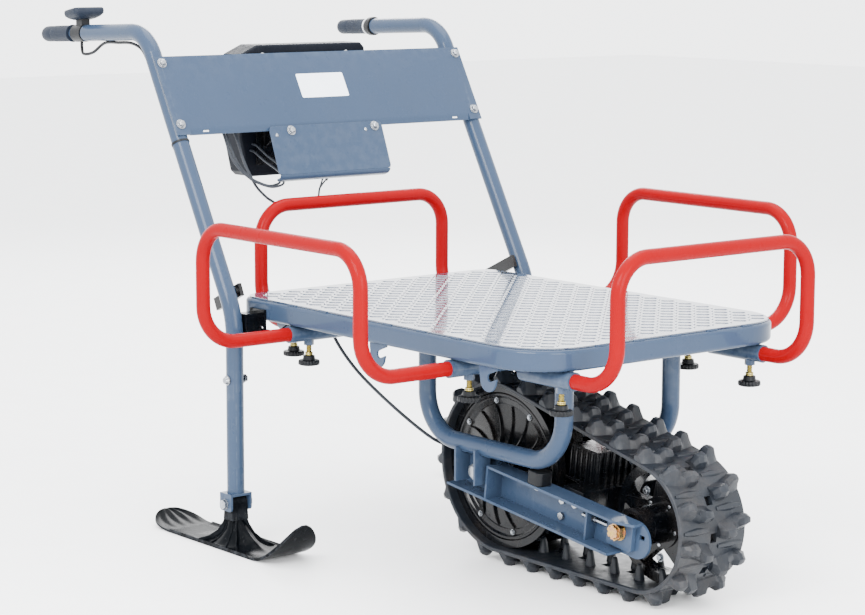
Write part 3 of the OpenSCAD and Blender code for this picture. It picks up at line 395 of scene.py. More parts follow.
material("black_plastic", srgb(22, 25, 31), srgb(28, 32, 39), (0.34, 0.48), blotch=20,
         bumps=((1500, 0.00006), (300, 0.00005)), scratch=0.3, dirt=srgb(84, 80, 74),
         dirt_amount=0.15, wear=srgb(80, 84, 90), wear_amount=0.4)
material("black_paint", srgb(14, 18, 24), srgb(19, 23, 30), (0.16, 0.28), coat=0.5, blotch=14,
         bumps=((700, 0.00004), (80, 0.00012)), scratch=0.3, dirt=srgb(98, 84, 70),
         dirt_amount=0.25)
material("ski_plastic", srgb(14, 18, 23), srgb(20, 25, 31), (0.16, 0.28), coat=0.04,
         coat_rough=0.12, blotch=12, spec=0.07, bumps=((800, 0.00004), (70, 0.0001)), scratch=0.5,
         dirt=srgb(110, 112, 114), dirt_amount=0.08, wear=srgb(96, 100, 108), wear_amount=0.6)
material("grip_rubber", srgb(54, 66, 86), srgb(46, 57, 76), (0.42, 0.55), blotch=30,
         bumps=((1500, 0.00006), (350, 0.00006)), dirt=srgb(110, 118, 130), dirt_amount=0.2)
material("track_rubber", (0.030, 0.039, 0.055, 1), (0.022, 0.029, 0.042, 1), (0.30, 0.46),
         spec=0.7, blotch=11, bumps=((900, 0.00010), (120, 0.0003), (28, 0.0004)), scratch=0.6,
         dirt=srgb(112, 106, 102), dirt_amount=0.45, dirt_scale=13, wear=srgb(96, 102, 112),
         wear_amount=0.5)
material("cable_jacket", srgb(84, 90, 100), srgb(72, 78, 88), (0.35, 0.5), blotch=40,
         bumps=((1200, 0.00004),), dirt=srgb(50, 52, 56), dirt_amount=0.3)
material("cable_black", srgb(30, 32, 36), srgb(38, 40, 46), (0.3, 0.45), blotch=40,
         bumps=((1200, 0.00004),))
material("label", srgb(236, 242, 252), srgb(230, 237, 248), (0.35, 0.5), coat=0.2, dim=0.9,
         blotch=30, bumps=((1000, 0.00003),))
material("white_trim", srgb(222, 226, 230), srgb(206, 210, 216), (0.4, 0.55), dim=0.8, blotch=60,
         bumps=((1200, 0.00004),))
material("battery", srgb(28, 34, 46), srgb(34, 40, 54), (0.36, 0.5), blotch=16, spec=0.2,
         bumps=((1300, 0.0001), (260, 0.00006)), scratch=0.4, dirt=srgb(90, 92, 96),
         dirt_amount=0.15, wear=srgb(92, 100, 114), wear_amount=0.5)
material("screen", srgb(30, 40, 60), srgb(24, 32, 50), (0.06, 0.1), coat=1.0, coat_rough=0.02,
         blotch=20, bumps=((400, 0.00001),))

# ---------------------------------------------------------------- shared sizes, machine mm
POST_Y, LEAN, BEND_Z, HANDLE_Z = 353.0, 29.3, 424.0, 929.0
SB, CB = math.sin(math.radians(LEAN)), math.cos(math.radians(LEAN))
# drive axle, idler axle, and the belt's inner radius round each
DX, DZ, IX, IZ, R1, R2 = 407.5, 176.0, 760.0, 134.0, 146.0, 104.0
ARM_A = math.atan2(DZ - IZ, IX - DX)
ARM_D = math.hypot(IX - DX, DZ - IZ)
PHI = math.asin((R1 - R2) / ARM_D)
HS = math.tan(math.radians(2.4))
TOP_X = -(HANDLE_Z - BEND_Z) / CB * SB
ON_POST = lambda s, y: T(-s * SB, y, BEND_Z + s * CB) @ RY(-LEAN)
ARM = T(DX, 0, DZ) @ Matrix.Rotation(ARM_A, 4, "Y")
COVER = ON_POST(0, 0) @ T(18.5, 0, 352) @ RY(8)
COVER_BOLT_Y = (-113, 87)


def hz(x):
    # height of the sloping handle
    return HANDLE_Z + (x - TOP_X) * HS


def pp(s, b, y):
    # point s along the sloping post, b behind it
    return (-s * SB - b * CB, y, BEND_Z + s * CB - b * SB)


def handle(s, x):
    # placement on a handle: local z runs back along the tube, x up
    return T(x, s * POST_Y, hz(x)) @ RY(-2.4) @ RY(-90)


def noisy(i, a=1.0):
    # small repeatable wobble
    v = math.sin(i * 12.9898 + 4.137) * 43758.5453
    return a * (2 * (v - math.floor(v)) - 1)


def bead(pts, name, r=2.3):
    # weld bead on the deck rim: overlapping scales along a path
    q = spline(pts, 6)

    def radius(t):
        return r * (0.82 + 0.18 * abs(math.sin(t * len(q) * 1.1))) + noisy(t * 91, r * 0.06)
    make(name, sweep(q, radius, 8), M["frame_paint"], ROOT, angle=60)


# ---------------------------------------------------------------- deck plate
def deck_plate():
    x0, x1, hy = -57.0, 763.0, 297.0
    rf, rr, z0, z1 = 104.0, 36.0, 450.0, 453.0
    out = []

    def corner(cx, cy, r, a0, n=14):
        for k in range(n + 1):
            a = math.radians(a0 + 90 * k / n)
            out.append((cx + r * math.cos(a), cy + r * math.sin(a)))
    corner(x1 - rf, hy - rf, rf, 0)
    corner(x0 + rr, hy - rr, rr, 90)
    corner(x0 + rr, -hy + rr, rr, 180)
    corner(x1 - rf, -hy + rf, rf, 270)
    make("deck_sheet", prism(out, z0, z1), M["deck_paint"], ROOT, ("deck_plate",), 30, 0.9, 3)
    # raised lenses in alternate directions; prof is half a lens's length and width
    lens = Part()
    pitch, margin = 22.2, 15.0
    prof = [(-12.2, 0.2), (-9.6, 1.9), (-5.4, 3.0), (0, 3.4), (5.4, 3.0), (9.6, 1.9), (12.2, 0.2)]

    def inside(x, y):
        if not (x0 + margin < x < x1 - margin and abs(y) < hy - margin):
            return False
        for cx, r in ((x1 - rf, rf), (x0 + rr, rr)):
            sx = 1 if cx > 300 else -1
            if (x - cx) * sx > 0 and abs(y) > hy - r:
                if math.hypot(x - cx, abs(y) - (hy - r)) > r - margin:
                    return False
        return True
    nx, ny = int((x1 - x0) / pitch) + 1, int(2 * hy / pitch) + 1
    for i in range(nx):
        for j in range(ny):
            x, y = x0 + 10 + i * pitch, -hy + 8 + j * pitch
            if not inside(x, y):
                continue
            ang = math.radians(45 if (i + j) % 2 else -45)
            c, s = math.cos(ang), math.sin(ang)
            v = []
            for u, w in prof:
                h = 1.35 * min(1.0, w / 2.0)
                for q, hh in ((-1, -0.3), (-0.72, 0.55), (-0.3, 0.95), (0.3, 0.95),
                              (0.72, 0.55), (1, -0.3)):
                    v.append((x + u * c - q * w * s, y + u * s + q * w * c, z1 + hh * h))
            lens.add(v, skin(6, len(prof)))
    make("deck_lenses", lens, M["deck_paint"], ROOT, angle=60)
    # short weld beads between the sheet and the rim
    k = 0
    for y in (-hy - 0.3, hy + 0.3):
        for x in range(int(x0 + rr) + 20, int(x1 - rf) - 30, 92):
            bead([(x + q * 6, y + noisy(x + q, 0.5), z0 + 0.6) for q in range(5)],
                 "rim_weld_%d" % k)
            k += 1
    for x in (x1 + 0.3, x0 - 0.3):
        for y in range(-170, 171, 85):
            bead([(x + noisy(y + q, 0.5), y + q * 6, z0 + 0.6) for q in range(5)],
                 "rim_weld_%d" % k)
            k += 1


# ---------------------------------------------------------------- belt
# the belt's path, measured at the middle of its thickness
MID = 4.0
ST = ARM_D * math.cos(PHI)
ARC1 = (math.pi + 2 * PHI) * (R1 + MID)
ARC2 = (math.pi - 2 * PHI) * (R2 + MID)
PATH = ARC1 + ARC2 + 2 * ST
LUGS = 25
PITCH = PATH / LUGS


def belt_frame(p):
    # point, tangent and outward normal at length p along the belt
    q = p % PATH
    if q < ST:
        th, c, r, d = PHI, (0, 0), R1, q
    elif q < ST + ARC2:
        th, c, r, d = PHI + (q - ST) / (R2 + MID), (ARM_D, 0), R2, 0
    elif q < 2 * ST + ARC2:
        th, c, r, d = math.pi - PHI, (ARM_D, 0), R2, q - ST - ARC2
    else:
        th, c, r, d = math.pi - PHI + (q - 2 * ST - ARC2) / (R1 + MID), (0, 0), R1, 0
    n = (math.sin(th), math.cos(th))
    t = (math.cos(th), -math.sin(th))
    o = (c[0] + r * n[0] + d * t[0], c[1] + r * n[1] + d * t[1])
    return o, t, n


def belt_at(fr, dx, y, o):
    # machine point: dx along the belt from a belt_frame, o out of its inner face
    c, t, n = fr
    return ARM @ Vector((c[0] + dx * t[0] + o * n[0], y, c[1] + dx * t[1] + o * n[1]))


def belt():
    band = Part()
    per = 8
    n = LUGS * per
    ys = [(-75, 1.2, 6.6), (-73.6, 0.2, 8.0), (-70, 0, 8), (-40, 0, 8), (-7, 0, 8), (7, 0, 8),
          (40, 0, 8), (70, 0, 8), (73.6, 0.2, 8.0), (75, 1.2, 6.6)]
    m = len(ys)
    fr = [belt_frame(i * PITCH / per) for i in range(n)]
    v = []
    for i in range(n):
        for y, a, b in ys:
            v.append(belt_at(fr[i], 0, y, a))
            v.append(belt_at(fr[i], 0, y, b))
    idx = lambda i, j, k: ((i % n) * m + j) * 2 + k
    hole = lambda i, j: j == 4 and (i % per) in (1, 2)
    f = []
    for i in range(n):
        for j in range(m - 1):
            if hole(i, j):
                continue
            f.append((idx(i, j, 1), idx(i + 1, j, 1), idx(i + 1, j + 1, 1), idx(i, j + 1, 1)))
            f.append((idx(i, j, 0), idx(i, j + 1, 0), idx(i + 1, j + 1, 0), idx(i + 1, j, 0)))
            if j == 0:
                f.append((idx(i, 0, 0), idx(i + 1, 0, 0), idx(i + 1, 0, 1), idx(i, 0, 1)))
            if j == m - 2:
                f.append((idx(i, j + 1, 0), idx(i, j + 1, 1), idx(i + 1, j + 1, 1),
                          idx(i + 1, j + 1, 0)))
        # walls of the windows
        if hole(i, 4):
            for j in (4, 5):
                f.append((idx(i, j, 0), idx(i + 1, j, 0), idx(i + 1, j, 1), idx(i, j, 1)))
            if not hole(i - 1, 4):
                f.append((idx(i, 4, 0), idx(i, 5, 0), idx(i, 5, 1), idx(i, 4, 1)))
            if not hole(i + 1, 4):
                f.append((idx(i + 1, 4, 0), idx(i + 1, 5, 0), idx(i + 1, 5, 1), idx(i + 1, 4, 1)))
    band.add(v, f)
    make("belt_band", band, M["track_rubber"], "track_carrier", ("belt",), 35)
    # lugs: faceted bars with two shoulders, staggered in two columns; a row is its place
    # across the belt, shift along it, height, half base and half top
    rows = [(-74, -8, 9, 10, 2), (-67, -8, 20, 13, 4), (-59, -9, 22, 15.5, 6),
            (-51, -8, 21.5, 16, 6), (-46, -4, 13, 16, 6), (-38, 3, 13, 16, 6),
            (-33, 7, 21.5, 16, 6), (-25, 9, 22, 15.5, 6), (-15, 9, 20, 14, 5),
            (-9, 8, 6, 12, 3)]
    lug = Part()
    for i in range(LUGS):
        for side in (0, 1):
            fr1 = belt_frame((i + (0.5 if side == 0 else 0.0)) * PITCH)
            v = []
            for y, s, h, B, t in (rows if side == 0 else rows[::-1]):
                yy = y if side == 0 else -y
                w = noisy(i * 7 + y, 0.5)
                for dx, o in ((-B + s * 0.4, 6.2), (-B * 0.72 + s, 8 + 0.55 * h),
                              (-t + s, 8 + h + w), (t + s, 8 + h + w),
                              (B * 0.72 + s, 8 + 0.55 * h), (B + s * 0.4, 6.2)):
                    v.append(belt_at(fr1, dx, yy, min(o, 30.0)))
            lug.add(v, skin(6, len(rows)))
    make("belt_lugs", lug, M["track_rubber"], "track_carrier", (), 8, 0.5, 1)
    # low ribs across the belt between the lugs, and the guide horns inside
    rib = Part()
    horn = Part()
    for i in range(LUGS):
        for side in (-1, 1):
            fr1 = belt_frame((i + (0.0 if side < 0 else 0.5)) * PITCH)
            v = [belt_at(fr1, dx, side * y, o) for y, w in ((12, 5), (40, 8), (68, 4))
                 for dx, o in ((-w, 6.8), (-w * 0.5, 10.2), (w * 0.5, 10.2), (w, 6.8))]
            rib.add(v, skin(4, 3))
            fh = belt_frame((i + 0.5) * PITCH)
            v = []
            for o, rx, ry in ((2.0, 9.0, 8.5), (-2, 8.4, 8.0), (-12, 6.6, 6.8),
                              (-22, 4.9, 5.6), (-26.6, 3.7, 4.6), (-28, 2.2, 3.0)):
                for k in range(12):
                    a = 2 * math.pi * k / 12
                    cx = math.copysign(abs(math.cos(a)) ** 0.7, math.cos(a))
                    cy = math.copysign(abs(math.sin(a)) ** 0.7, math.sin(a))
                    v.append(belt_at(fh, rx * cx, side * 25 + ry * cy, o))
            horn.add(v, skin(12, 6))
    make("belt_ribs", rib, M["track_rubber"], "track_carrier", (), 28, 0.8, 2)
    make("belt_horns", horn, M["track_rubber"], "track_carrier", (), 50)


# ---------------------------------------------------------------- wheel covers
def wheel_covers():
    # domed discs with curved ribs and screw bosses
    def dome(r):
        t = min(max((r - 24) / 88.0, 0), 1)
        return 13 - 9.5 * t ** 1.5
    for s in (-1, 1):
        mt = T(DX, s * 48, DZ) @ RX(s * -90)
        p = Part()
        prof = [(24, 0), (24, 15), (27, 16), (30, 15.5), (32, dome(32))]
        prof += [(r, dome(r)) for r in range(38, 111, 9)]
        prof += [(112, 3.6), (113.5, 5.0), (122.5, 5.2), (124, 6.5), (126, 9.2), (128.5, 9.8),
                 (131, 9.0), (132, 7.0), (132, 0)]
        p.join(lathe(prof, 96, True), mt)
        for i in range(16):
            a0 = 2 * math.pi * i / 16
            v = []
            for k in range(9):
                t = k / 8.0
                r = 31 + 80 * t
                a = a0 + 0.24 * t * t
                h = 6.2 - 2.4 * k / 8
                c, sn = math.cos(a), math.sin(a)
                w = 1.5
                for q, z in ((-w, -1), (-w * 0.7, h - 0.5), (0, h), (w * 0.7, h - 0.5), (w, -1)):
                    v.append((r * c - q * sn, r * sn + q * c, dome(r) + z))
            p.add(v, skin(5, 9), mt)
        for i in range(8):
            a = math.radians(i * 45 + 11.25)
            p.join(lathe([(6.8, 3), (6.5, 5.7), (5.9, 6.0), (3.0, 6.0)], 20),
                   mt @ T(118 * math.cos(a), 118 * math.sin(a), 0))
        make("wheel_cover_%s" % ("right" if s < 0 else "left"), p, M["black_paint"], "drive",
             ("wheel_covers",), 32)


# ---------------------------------------------------------------- skis
def ski(s, body, node):
    # upturned sole with a saddle up to the pivot block; s is the machine's side
    y0 = s * POST_Y
    W = 48.0
    L0, L1 = -235.0, 215.0
    p = Part()

    def level(u):
        # height of the underside and the direction towards the upper face
        for u0, rr, k in ((105, 118.0, 1), (-150, 170.0, -1)):
            if (u - u0) * k > 0:
                h = math.sqrt(rr ** 2 - (u - u0) ** 2)
                return rr - h, (u0 - u) / rr, h / rr
        return 0.0, 0.0, 1.0

    def half(u):
        e = max(u - 167, -187 - u, 0.0) / 48.2
        return W * math.sqrt(max(1 - e * e, 0.0))

    def hump(u, w):
        # saddle running up to the pivot block
        tall = 62
        a = max(0.0, 1 - abs(u) / 112.0)
        b = max(0.0, 1 - abs(w) / (45.0 - 8.0 * (1 - a)))
        ridge = tall * a ** 2.3
        top = ridge * max(0.0, 1 - (abs(w) / 19.0) ** 4) if abs(w) < 19 else 0
        flank = tall * (a ** 1.9) * (b ** 1.45)
        return max(flank, top, 0)
    nu, nw = 96, 28
    us = [L0 + (L1 - L0) * (0.5 - 0.5 * math.cos(math.pi * i / nu)) * 0.35
          + (L1 - L0) * 0.65 * i / nu for i in range(nu + 1)]
    rows, low = [], []
    for u in us:
        h = half(u)
        row = []
        for j in range(nw + 1):
            t = -1 + 2 * j / nw
            w = t * h
            edge = abs(t) ** 6
            z0, nx, nz = level(u)
            q = 3.0 + 1.9 * edge * min(1, h / 10)
            if -150 < u < 105:
                q += 3.0 * edge
            # long grooves in the two upturned ends
            if (u > 112 or u < -158) and h > 10:
                g = 0.5 + 0.5 * math.cos(t * 4.5 * math.pi)
                q += 1.6 * g * min(1, (u - 112) / 25 if u > 0 else (-158 - u) / 20) * (1 - edge)
            q += hump(u, w)
            row.append((u + nx * q, w, z0 + nz * q))
            low.append((u, w * 0.985, z0 + 0.4 * (abs(w) / W) ** 4 * nz))
        rows.append(row)
    v, f = [], []
    for row in rows:
        for u, w, z in row:
            v.append((u, y0 + w, z))
    v += [(u, y0 + w, z) for u, w, z in low]
    m = nw + 1
    off = (nu + 1) * m
    for i in range(nu):
        for j in range(nw):
            f.append((i * m + j, (i + 1) * m + j, (i + 1) * m + j + 1, i * m + j + 1))
            f.append((off + i * m + j, off + i * m + j + 1, off + (i + 1) * m + j + 1,
                      off + (i + 1) * m + j))
        f.append((i * m, off + i * m, off + (i + 1) * m, (i + 1) * m))
        f.append((i * m + nw, (i + 1) * m + nw, off + (i + 1) * m + nw, off + i * m + nw))
    f.append(tuple(range(nw, -1, -1)) + tuple(off + j for j in range(m)))
    f.append(tuple(nu * m + j for j in range(m))
             + tuple(off + nu * m + j for j in range(nw, -1, -1)))
    p.add(v, f)
    # pivot block with its boss
    bl = [(-15, 48), (-12.5, 72)] + [(-12 * math.cos(math.radians(a)), 79 + 12 * math.sin(
        math.radians(a))) for a in range(0, 181, 15)] + [(12.5, 72), (15, 48)]
    blk = Part().add([(x, y, z) for y in (y0 - 18, y0 + 18) for x, z in bl], skin(len(bl), 2))
    # radial ribs fanning from the block down the flanks
    rib = Part()
    for k in (-1, 1):
        for a in (-56, -30, 0, 30, 56):
            d = Vector((math.sin(math.radians(a)), k * math.cos(math.radians(a)), 0))
            q = Vector((d.y, -d.x, 0)) * 1.5
            ln = 42.0 / max(abs(d.y), 0.55)
            prof = [(6, 2), (ln, 4), (ln, 6.4), (ln * 0.72, 13), (ln * 0.48, 26), (ln * 0.34, 42),
                    (ln * 0.25, 60), (6, 66)]
            rib.add([(d.x * t + q.x * e, y0 + d.y * t + q.y * e, z)
                     for e in (-1, 1) for t, z in prof], skin(len(prof), 2))
    make(node + "_shell", p, M["ski_plastic"], body, (node,), 45)
    make(node + "_block", blk, M["ski_plastic"], body, (), 35, 1.2, 2)
    make(node + "_ribs", rib, M["ski_plastic"], body, (), 35, 0.8, 2)


# ---------------------------------------------------------------- knobs
def knobs():
    side_r, side_f = 97.5, 549.5
    places = {
        "knob_right_rear": (side_r, -257), "knob_right_front": (side_f, -257),
        "knob_left_rear": (side_r, 257), "knob_left_front": (side_f, 257),
        "knob_front_right": (737, -219), "knob_front_left": (737, 219),
        "knob_rear_right": (-2, -219), "knob_rear_left": (-2, 219),
    }
    for name, (x, y) in places.items():
        body = body_of_node(name)
        mt = T(x, y, 398) @ RZ(17 + 31 * (x % 7))
        p = Part()
        # disc with rounded scallops
        lobes = 18
        n = lobes * 8
        v = []
        for r, z, amp in ((3, -60.0, 0), (9, -60.0, 0), (10.5, -59.2, 0), (13.5, -59.2, 0),
                          (15.2, -60.0, 0.1), (18.3, -59.2, 1.0), (19.4, -57.6, 1.0),
                          (19.4, -52.6, 1.0), (18.3, -50.8, 1.0), (14.6, -50.2, 0.2),
                          (11.6, -49.6, 0), (10.9, -45.0, 0), (10.4, -42.6, 0), (9.4, -42.0, 0),
                          (5.2, -42.0, 0)):
            for k in range(n):
                wave = abs(math.cos(lobes * math.pi * k / n)) ** 0.7 - 0.75
                a, q = 2 * math.pi * k / n, r + amp * 1.25 * wave
                v.append((q * math.cos(a), q * math.sin(a), z))
        p.add(v, skin(n, len(v) // n), mt)
        make(name + "_head", p, M["black_plastic"], body, (name,), 40)
        # threaded stud
        prof = [(0.6, -42.1), (6.6, -42.1), (7.0, -41.6), (7.0, -39.6), (6.5, -39.0), (7.0, -38.4),
                (7.0, -36.4), (6.4, -35.9), (4.6, -35.9)]
        z = -35.8
        while z < -14.2:
            prof += [(4.3, z), (4.95, z + 0.5), (4.3, z + 1.0)]
            z += 1.25
        prof += [(4.0, -13.2), (0.6, -12.9)]
        make(name + "_stud", Part().join(lathe(prof, 20), mt), M["brass"], body, (), 50)


# ---------------------------------------------------------------- grips
def knurl(s, x, z0, z1, name, replaced, r=15.6):
    # sleeve with a diamond knurl that fades at both ends
    n, m = 120, int((z1 - z0) / 0.55)
    v = []
    for i in range(m + 1):
        z = z0 + (z1 - z0) * i / m
        fade = min(1.0, (z - z0) / 1.5, (z1 - z) / 1.5)
        for k in range(n):
            a = 2 * math.pi * k / n
            w = math.sin(15 * a + z * 1.15) * math.sin(15 * a - z * 1.15)
            rr = r - 0.45 + fade * 0.45 * (0.5 + 0.5 * w) * 1.6 - (1 - fade) * 0.3
            v.append((rr * math.cos(a), rr * math.sin(a), z))
    p = Part().add(v, skin(n, m + 1), handle(s, x))
    make(name, p, M["grip_rubber"], ROOT, replaced, 60)


def grips():
    # knurled sleeves with smooth rounded caps; the left one has a pale ring and a collar
    knurl(-1, -546, 4, 66, "right_sleeve", ("right_grip",))
    cap = lathe([(12, 0), (16.6, 0.4), (17, 1.4), (17, 3.4), (16.2, 4.2), (12, 4.4)], 56)
    p = Part().join(cap, handle(-1, -546))
    end = [(12, 65.6), (14.6, 66), (15.3, 67.5), (15.4, 90), (15.0, 95.5), (13.6, 99.6),
           (11.0, 102.2), (7.0, 103.4), (1.0, 103.8)]
    p.join(lathe(end, 56), handle(-1, -546))
    make("right_cap", p, M["grip_rubber"], ROOT, (), 40)
    knurl(1, -516, 3, 62, "left_sleeve", ("left_grip",))
    end = [(12, 61.6), (14.6, 62), (15.3, 63.5), (15.4, 86), (15.0, 91.5), (13.6, 95.4),
           (11.0, 97.6), (7.0, 98.6), (1.0, 98.9)]
    p = Part().join(lathe(end, 56), handle(1, -516))
    make("left_cap", p, M["grip_rubber"], ROOT, (), 40)
    ring = lathe([(12, -0.6), (16.4, -0.4), (17.2, 0.4), (17.2, 2.4), (16.4, 3.2), (12, 3.4)], 56)
    make("left_ring", Part().join(ring, handle(1, -516)), M["white_trim"], ROOT, (), 40)
    collar = lathe([(12, 0.2), (18.6, 0.2), (19.5, 1.2), (19.5, 12.6), (18.7, 14.2), (17.2, 15.2),
                    (16.8, 17.6), (16.0, 18.6), (12, 18.7)], 64)
    make("left_collar", Part().join(collar, handle(1, -496)), M["black_plastic"], ROOT,
         ("grip_collar",), 40)


# ---------------------------------------------------------------- display on the right handle
def display():
    mt = handle(-1, -498) @ T(27.2, 0, 3) @ RY(-8)

    # rounded case: local x is up, y across, z rearwards
    def plate(x, half_y, half_z, r):
        return [(x, y, z) for y, z in rounded(-half_y, half_y, -half_z, half_z, r, 6)]
    rings = [plate(0, 20, 14, 7), plate(3.4, 28, 19, 8), plate(8, 33, 23, 8), plate(14, 34, 24, 8),
             plate(18, 33.4, 23.4, 8), plate(19.6, 31.6, 21.6, 7), plate(19.8, 28.5, 18.5, 5),
             plate(19.0, 28, 18, 5)]
    p = Part().add(sum(rings, []), skin(len(rings[0]), len(rings)), mt)
    make("display_case", p, M["grip_rubber"], ROOT, ("display",), 40)
    rings = [plate(18.9, 27.8, 17.8, 5), plate(19.5, 27.4, 17.4, 5)]
    p = Part().add(sum(rings, []), skin(len(rings[0]), 2), mt)
    make("display_window", p, M["screen"], ROOT, (), 40)


# ---------------------------------------------------------------- battery box and panel parts
def battery():
    # upright case: outline seen from the front, y across and z up
    prof = [(-128, 645), (-138, 654), (-153, 721), (-153, 881), (-112, 899), (139, 899),
            (149, 889), (149, 659), (136, 645)]
    mid_z = 775.0
    v = [(x, y - math.copysign(k, y), z - math.copysign(k, z - mid_z))
         for x, k in ((-330, 8), (-328, 4), (-322, 0), (-267.5, 0), (-265, 2.5))
         for y, z in prof]
    case = Part().add(v, skin(len(prof), 5))
    make("battery_case", case, M["battery"], ROOT, ("battery_box",), 30, 1.6, 3)
    ribs = Part()
    # flutes down the front either side of the backing plate, and along both ends
    for y in (-148, -142, -136, -130, -124, 118, 126, 134, 142):
        ribs.join(box(-266, -265.02, y - 1.3, y + 1.3, 724, 878))
    for x in (-318, -306, -294, -282):
        ribs.join(box(x, x + 3, 148, 149, 664, 884))
        ribs.join(box(x, x + 3, -153, -152, 726, 876))
    for y in range(-100, 130, 22):
        ribs.join(box(-322, -272, y, y + 4, 898, 899))
    make("battery_ribs", ribs, M["battery"], ROOT, (), 30, 0.35, 2)


def cover_plate():
    # outline in the plate's plane: y across, z up; corners rounded
    out = []
    y0, y1, s0, s1 = -162.0, 106.0, -86.0, 10.0
    for cy, cs, a0, r in ((y1 - 8, s1 - 8, 0, 8), (y0 + 8, s1 - 8, 90, 8)):
        for k in range(7):
            a = math.radians(a0 + 90 * k / 6)
            out.append((cy + r * math.cos(a), cs + r * math.sin(a)))
    out += [(y0, s0 + 6), (y0 + 2, s0 + 1.5), (y0 + 8, s0), (y1 - 8, s0), (y1 - 2, s0 + 1.5),
            (y1, s0 + 6)]
    thick = 2.5
    p = Part().add([(x, y, s) for x in (0, thick) for y, s in out], skin(len(out), 2), COVER)
    # rolled lower edge, its ends drawn in
    arc = [math.radians(-90 + 90 * k / 8) for k in range(9)]
    rings = []
    for y, q in ((y0 + 3, 3.0), (y0 + 5, 1.0), (y0 + 8, 0.0), (y1 - 8, 0.0), (y1 - 5, 1.0),
                 (y1 - 3, 3.0)):
        ro = 9.0 - q
        sec = [(-14.5, s0 - ro)] + [(-6.5 + 9 * math.cos(a), s0 + ro * math.sin(a)) for a in arc]
        sec += [(-6.5 + 6.5 * math.cos(a), s0 + (ro - thick) * math.sin(a)) for a in arc[::-1]]
        sec += [(-14.5, s0 + thick - ro)]
        rings.append([(x, y, z) for x, z in sec])
    p.add(sum(rings, []), skin(len(rings[0]), len(rings)), COVER)
    make("cover_sheet", p, M["frame_paint"], ROOT, ("cover_plate",), 30, 0.6, 2)
    # two small rivets near the upper corners
    q = Part()
    for y, z in ((-148, -8), (64, -6)):
        q.join(lathe([(3.4, -0.6), (3.4, 0.6), (2.6, 1.5), (0.6, 1.9)], 20),
               COVER @ T(thick, y, z) @ RY(90))
    make("small_screws", q, M["zinc"], ROOT, (), 40)


def bolt_heads():
    # washers, flanges and hexagon heads on the panel, the cover and the upper flange
    mt = ON_POST(0, 0)
    spots = [mt @ T(18.5, y, s) @ RY(90) for y in (-353, 353) for s in (377.5, 503.5)]
    spots += [COVER @ T(2.5, y, 0) @ RY(90) for y in COVER_BOLT_Y]
    p = Part()
    for i, m1 in enumerate(spots):
        m2 = m1 @ RZ(23 * i + 7)
        p.join(lathe([(4.6, 0), (9.3, 0), (9.6, 0.4), (9.6, 1.3), (9.2, 1.7), (4.6, 1.7)], 32), m2)
        p.join(lathe([(1, 1.6), (7.4, 1.6), (7.9, 2.2), (7.3, 3.0), (6.6, 3.2)], 32), m2)
        p.join(hexa(11.6, 5.2, 1.6), m2 @ T(0, 0, 2.9))
        p.join(lathe([(0.8, 8.0), (4.6, 8.0), (3.8, 8.7), (0.8, 9.0)], 24), m2)
    for i, y in enumerate(COVER_BOLT_Y):
        m2 = mt @ T(8, y, 517.5) @ RZ(31 * i)
        p.join(lathe([(3, 0), (6.6, 0), (7, 0.3), (7, 0.9), (6.6, 1.2), (3, 1.2)], 28), m2)
        p.join(hexa(8.6, 4.0, 1.2), m2 @ T(0, 0, 1.1))
    make("panel_bolt_heads", p, M["zinc"], ROOT, ("panel_bolts",), 35, 0.35, 2)


def label():
    out = rounded(-59, 53, 420, 471, 3.0, 5)
    v = [(x, y, s) for x in (18.5, 18.85) for y, s in out]
    film = Part().add(v, skin(len(out), 2), ON_POST(0, 0))
    make("blank_label", film, M["label"], ROOT, ("panel_label",), 40, 0.12, 2)


